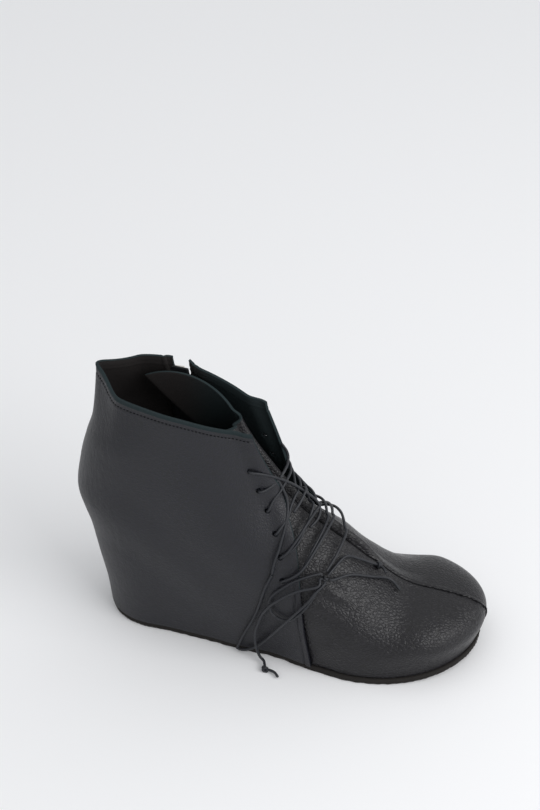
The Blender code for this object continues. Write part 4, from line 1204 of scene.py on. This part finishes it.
def make_zip(nylon):
    """The coil's turns between the slot's edges, and the tape behind the leather."""
    z = np.arange(ZIP_BOTTOM + 6 * MM, BACK_HEIGHT - SLIDER_DROP - 4 * MM, TOOTH_PITCH * 0.92)
    places = last_point(zip_x(z), z, 1, 1.55 * MM)
    ahead = np.gradient(places, axis=0)
    bm = bmesh.new()
    for place, up, out in zip(places, ahead, last_normal(places, INSTEP)):
        up = Vector(up).normalized()
        across = Vector(out).cross(up).normalized()
        add_bead(bm, place, across, up, (TOOTH_LENGTH / 2, TOOTH_RADIUS, TOOTH_RADIUS), 10)
    teeth = piece_of(bm, "zip_teeth", [nylon])

    def tape_place(u, v):
        height = lerp(ZIP_BOTTOM - 2 * MM, BACK_HEIGHT - 9 * MM, v)
        x = zip_x(height) + lerp(-TAPE_HALF, TAPE_HALF, u)
        return last_point(x, height, 1, 0.0)

    bm, _ = laid_grid(8, 90, tape_place)
    face_out(bm)
    tape = piece_of(bm, "zip_tape", [nylon])
    solid = tape.modifiers.new("wall", "SOLIDIFY")
    solid.thickness = 0.7 * MM
    solid.offset = -1


# Laces

# The bow's cords over the outer side, from the knot on: share of the sole's length from its
# middle, share of the throat's height, and distance out from the form in mm.
KNOT_PLACE = (0.112, 0.408, (KNOT_RADIUS + PIECE_GAP) / MM)
SMALL_LOOP = [
    (0.046, 0.410, 4.5),
    (0.009, 0.375, 4.5),
    (-0.016, 0.335, 4.5),
    (-0.018, 0.290, 4.5),
    (-0.003, 0.250, 4.5),
    (0.034, 0.248, 4.5),
    (0.062, 0.285, 4.5),
    (0.086, 0.340, 4.5),
]
LONG_LOOP = [
    (0.091, 0.368, 7.5),
    (0.076, 0.335, 7.5),
    (0.031, 0.243, 7.5),
    (-0.048, 0.075, 4.4),
    (-0.083, 0.030, 4.4),
    (-0.110, 0.022, 4.0),
    (-0.106, 0.045, 4.0),
    (-0.093, 0.105, 4.0),
    (-0.060, 0.230, 4.0),
    (-0.036, 0.365, 4.0),
    (-0.022, 0.425, 4.0),
]
LOW_END = [
    (0.095, 0.390, 7.8),
    (0.045, 0.375, 7.8),
    (0.000, 0.330, 7.8),
    (-0.022, 0.290, 7.5),
    (-0.041, 0.240, 6.8),
    (-0.058, 0.150, 7.0),
    (-0.056, 0.080, 7.6),
    (-0.045, 0.030, 8.0),
    (-0.028, 0.018, 9.5),
    (-0.012, 0.013, 15.0),
]
TOE_END = [
    (0.169, 0.398, 2.4),
    (0.219, 0.360, 2.0),
    (0.262, 0.318, 1.6),
    (0.295, 0.286, 1.5),
]
THROAT_END = [
    (0.146, 0.446, 3.2),
    (0.177, 0.418, 2.8),
    (0.210, 0.382, 2.0),
    (0.228, 0.361, 1.8),
]

# Where each cord leaves the knot, and enters it again: shares forwards, up the form and out of it.
KNOT_EXITS = {
    "lace_loop_small": (-0.80, 0.50, 0.20),
    "lace_loop_long": (-0.10, -0.70, 0.70),
    "lace_end_low": (-0.75, -0.10, 0.65),
    "lace_end_toe": (1.00, 0.00, 0.00),
    "lace_end_throat": (0.50, 0.85, 0.00),
}
SMALL_LOOP_RETURN = (-0.45, -0.85, 0.00)


def cord_places(table):
    along, up, out = np.array(table).T
    return last_point(along * SOLE_LENGTH, up * THROAT_HEIGHT, -1, out * MM)


def knot_exit(knot, shares):
    """Two places of a cord, the first just off the knot and the next straight out from it."""
    out = last_normal(knot, INSTEP)
    forward = normed(np.array([1.0, 0, 0]) - out * out[0])
    upward = np.cross(forward, out) * (1 if np.cross(forward, out)[2] > 0 else -1)
    direction = normed(shares[0] * forward + shares[1] * upward + shares[2] * out)
    reach = KNOT_RADIUS + 1.8 * PIECE_GAP + np.array([[0], [LACE_DIAMETER]])
    return knot + direction * reach


def smooth_path(points, spacing):
    """Evenly spaced points on a smooth curve through given ones."""
    points = np.asarray(points, float)
    ends = np.concatenate([[2 * points[0] - points[1]], points, [2 * points[-1] - points[-2]]])
    fine = []
    for p0, p1, p2, p3 in zip(ends, ends[1:], ends[2:], ends[3:]):
        t = np.linspace(0, 1, 24, endpoint=False)[:, None]
        bend = (2 * p0 - 5 * p1 + 4 * p2 - p3) * t**2 + (3 * p1 - p0 - 3 * p2 + p3) * t**3
        fine.append(0.5 * (2 * p1 + (p2 - p0) * t + bend))
    fine = np.concatenate([*fine, points[-1:]])
    length = lengths_along(fine)
    count = max(6, round(length[-1] / spacing) + 1)
    return points_at(fine, length, np.linspace(0, length[-1], count))


def lace_curve(name, path, material):
    curve = bpy.data.curves.new(name, "CURVE")
    curve.dimensions = "3D"
    curve.bevel_depth = LACE_DIAMETER / 2
    curve.bevel_resolution = 3
    curve.use_fill_caps = True
    spline = curve.splines.new("POLY")
    spline.points.add(len(path) - 1)
    for point, place in zip(spline.points, path):
        point.co = (*place, 1)
    obj = add_object(name, curve)
    curve.materials.append(material)
    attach(obj, "shoe")
    return obj


def knot_piece(name, centre, ahead, turns, radius, material, tail=None):
    """A lump of lace wound round a cord's own line, its turns side by side, with a cord's tail."""
    ahead = normed(np.asarray(ahead))
    out = last_normal(np.asarray(centre), INSTEP)
    out = normed(out - ahead * (out @ ahead))
    across = np.cross(out, ahead)
    turn = np.linspace(0, 2 * math.pi * turns, int(14 * turns))[:, None]
    slide = (turn / turn[-1] - 0.5) * LACE_DIAMETER * 0.8 * turns
    path = centre + radius * (np.cos(turn) * across + np.sin(turn) * out) + slide * ahead
    bm = bmesh.new()
    add_tube(bm, path, LACE_DIAMETER / 2, 8)
    if tail is not None:
        add_tube(bm, smooth_path([centre, *tail], 1.5 * MM), LACE_DIAMETER / 2, 8)
    close_tubes(bm)
    knot = piece_of(bm, name, [material])
    return knot


def make_bow(material):
    """The bow: its knot, and five free cords from it, two of them ending in an overhand knot."""
    knot = cord_places([KNOT_PLACE])[0]
    rows = [
        ("lace_loop_small", SMALL_LOOP, "object", None),
        ("lace_loop_long", LONG_LOOP, "object", None),
        ("lace_end_low", LOW_END, "knot", [(6.0, -1.5, 0.3), (9.5, -4.5, -0.3)]),
        ("lace_end_toe", TOE_END, "bare", None),
        ("lace_end_throat", THROAT_END, "knot", [(3.0, -1.5, -0.6), (5.5, -4.5, -1.5)]),
    ]
    bow_knot = knot_piece("bow_knot", knot, (0.6, 0.35, 0.7), 1.6, 1.1 * MM, material)
    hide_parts("lace_knot")
    for name, table, far_end, tail in rows:
        places = [knot_exit(knot, KNOT_EXITS[name]), cord_places(table)]
        if name == "lace_loop_small":
            places.append(knot_exit(knot, SMALL_LOOP_RETURN)[::-1])
        path = smooth_path(np.concatenate(places), 0.9 * LACE_DIAMETER)
        cord = lace_curve(name.replace("lace_", "bow_"), path, material)
        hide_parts(name)
        held = ["bow_knot"] if name == "lace_loop_small" else []
        if tail is not None:
            end_knot = name.replace("lace_", "overhand_")
            ends = path[-1] + np.array(tail) * MM
            knot_piece(end_knot, path[-1], path[-1] - path[-3], 1.7, 1.35 * MM, material, ends)
            held.append(end_knot)


# The lace over the tongue's outer half, in mm: the outer eyelet that a strand comes out of, its
# route as far as the ridge of the instep, and the inner eyelet that it goes down to.
STRANDS = [
    (0, [(-12.8, -15.7, 130.2), (-2.2, -5.0, 118.6), (8.0, 0.5, 108.0), (15.6, 2.0, 99.0),
         (17.0, -4.2, 93.9), (13.5, -12.0, 91.2)], None),
    (1, [(-15.7, -20.3, 120.1), (-13.2, -18.2, 120.4), (-10.0, -14.7, 121.7), (-7.9, -10.0, 122.4)], 0),
    (2, [(-8.6, -17.2, 112.3), (-5.8, -12.1, 115.8), (-4.1, -8.1, 118.9)], 1),
    (3, [(-3.3, -24.6, 95.2), (0.7, -17.4, 101.4), (1.2, -12.8, 105.7), (2.4, -6.5, 109.5),
         (3.3, -2.1, 111.1)], 1),
    (4, [(1.1, -30.7, 81.1), (5.7, -27.3, 83.6), (9.2, -22.1, 88.0), (11.4, -14.6, 93.5),
         (12.5, -7.8, 97.0), (12.9, -1.5, 101.3)], 2),
    (4, [(3.1, -29.7, 82.6), (7.9, -23.4, 89.2), (11.7, -15.5, 95.2), (14.8, -4.0, 97.6),
         (16.2, 3.3, 98.4)], 3),
    (5, [(12.6, -32.8, 72.1), (17.6, -22.4, 82.1), (20.9, -10.7, 87.9), (22.0, 0.6, 90.3)], 4),
    (5, [(13.1, -34.0, 73.6), (21.0, -17.9, 84.9), (24.3, -2.5, 88.6), (24.9, 4.1, 89.4)], 5),
]

# The strand from the bow's knot over the ridge, the long loop's way up the throat, and the strand
# across the tongue, in mm.
KNOT_STRAND = [(27.9, -27.8, 71.9), (30.9, -20.2, 76.0), (33.2, -9.5, 79.8), (33.7, 0.4, 81.4)]
RISER = [(-3.6, -34.2, 77.5), (-1.5, -29.0, 86.6), (0.2, -18.8, 100.6), (-1.0, -12.3, 109.1),
         (-5.0, -10.0, 118.0), (-10.0, -9.5, 126.0)]
CROSS_STRAND = [(3.4, -14.2, 103.0), (5.9, -7.8, 106.2), (7.4, 0.9, 110.3)]
LACE_LIFT = 2.1 * MM

# The riser starts just past the long loop's end.
LOOP_JOIN = PIECE_GAP * np.array([0.3, 0.4, 0.9])


def down_to(place, number):
    """The rest of a strand, from the ridge over the inner side into an eyelet."""
    hole = eyelet(1, number)
    share = np.linspace(0, 1, 9)[1:-1, None]
    over = laid(lerp(np.asarray(place), hole, share), QUARTER_WALL + PIECE_GAP + LACE_LIFT)
    return [*over, eyelet(1, number, LACE_DIAMETER * 0.7), eyelet(1, number, -QUARTER_WALL)]


def make_crossings(material):
    bm = bmesh.new()
    for number, route, inner in STRANDS:
        route = [np.array(place) * MM for place in route]
        start = [eyelet(-1, number, -QUARTER_WALL), eyelet(-1, number, LACE_DIAMETER * 0.75)]
        end = [] if inner is None else down_to(route[-1], inner)
        add_tube(bm, smooth_path([*start, *route, *end], 1.1 * MM), LACE_DIAMETER / 2)
    riser = [cord_places(LONG_LOOP)[-1] + LOOP_JOIN, *(np.array(RISER) * MM)]
    add_tube(bm, smooth_path(riser, 1.1 * MM), LACE_DIAMETER / 2)
    for route, inner in ((KNOT_STRAND, 5), (CROSS_STRAND, 2)):
        route = np.array(route) * MM
        add_tube(bm, smooth_path([*route, *down_to(route[-1], inner)], 1.1 * MM), LACE_DIAMETER / 2)
    close_tubes(bm)
    crossings = piece_of(bm, "lace_over_tongue", [material])
    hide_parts("lace_crossings")


# Camera, floor and light

CAMERA_PLACE = Vector((0.2138, -0.8859, 0.8640))
CAMERA_AHEAD = Vector((-0.1996, 0.7721, -0.6033))


def aim(obj, place, ahead):
    """Puts a camera or light at a place and turns it to look ahead."""
    obj.location = place
    obj.rotation_mode = "QUATERNION"
    obj.rotation_quaternion = ahead.to_track_quat("-Z", "Y")


def make_camera():
    data = bpy.data.cameras.new("camera")
    data.lens = 85
    data.sensor_width = 36
    data.clip_start = 0.01
    camera = add_object("camera", data)
    aim(camera, CAMERA_PLACE, CAMERA_AHEAD)
    bpy.context.scene.camera = camera


def make_floor():
    bm = bmesh.new()
    bmesh.ops.create_grid(bm, x_segments=1, y_segments=1, size=6.0)
    pale = Shading("pale_floor").finish((0.92, 0.92, 0.93), 0.8, Specular_IOR_Level=0.2)
    floor = mesh_object(bm, "floor", [pale])


def area_light(name, place, target, size, power):
    data = bpy.data.lights.new(name, "AREA")
    data.shape = "RECTANGLE"
    data.size, data.size_y = size
    data.energy = power
    light = add_object(name, data)
    aim(light, place, Vector(target) - Vector(place))


def make_light():
    world = bpy.data.worlds.new("studio")
    bpy.context.scene.world = world
    world.use_nodes = True
    background = world.node_tree.nodes["Background"]
    background.inputs["Color"].default_value = (0.97, 0.985, 1.0, 1)
    background.inputs["Strength"].default_value = 0.68
    area_light("overhead", (-0.10, 0.30, 1.90), (0, 0.05, 0), (1.8, 1.8), 3)
    area_light("window", (1.30, -0.46, 1.06), (0.05, 0, 0.05), (1.5, 0.9), 15)
    bpy.context.scene.view_settings.view_transform = "Standard"


def main():
    quarter_leather = fine_grain_leather()
    vamp_leather = pebbled_leather()
    edge = fibrous(
        "raw_edge", (0.008, 0.015, 0.017), (0.020, 0.032, 0.035), (1500, 3.0), 0.85, 0.12 * MM, 0.25
    )
    lining = lining_leather()
    lace = fibrous(
        "waxed_lace", (0.006, 0.0065, 0.009), (0.018, 0.020, 0.026), (1300, 2.0), 0.46, 0.18 * MM, 0.45
    )
    rubber = fibrous(
        "sole_rubber", (0.008, 0.007, 0.0065), (0.022, 0.019, 0.017), (420, 4.0, 0.65), 0.8, 0.35 * MM, 0.25
    )
    nickel = plated("polished_nickel", (0.80, 0.77, 0.72), 0.12, 0.08)
    nylon = zip_nylon()
    make_camera()
    make_floor()
    make_light()
    make_bow(lace)
    make_quarters(quarter_leather, edge, lining)
    make_vamp(vamp_leather, edge, lining)
    make_crossings(lace)
    thread = stitch_thread()
    make_seam_shade(thread)
    make_stitches(thread)
    make_outsole(rubber)
    make_zip(nylon)
    finishes = {
        "zip_slider": nickel,
        "zip_link": plated("coppery_nickel", (0.72, 0.56, 0.40), 0.2, 0.1),
        "zip_pull": nickel,
        "zip_coil": nylon,
        "insole": lining,
        "wedge": cork_block(),
    }
    for node, material in finishes.items():
        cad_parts[node].data.materials.clear()
        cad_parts[node].data.materials.append(material)


main()
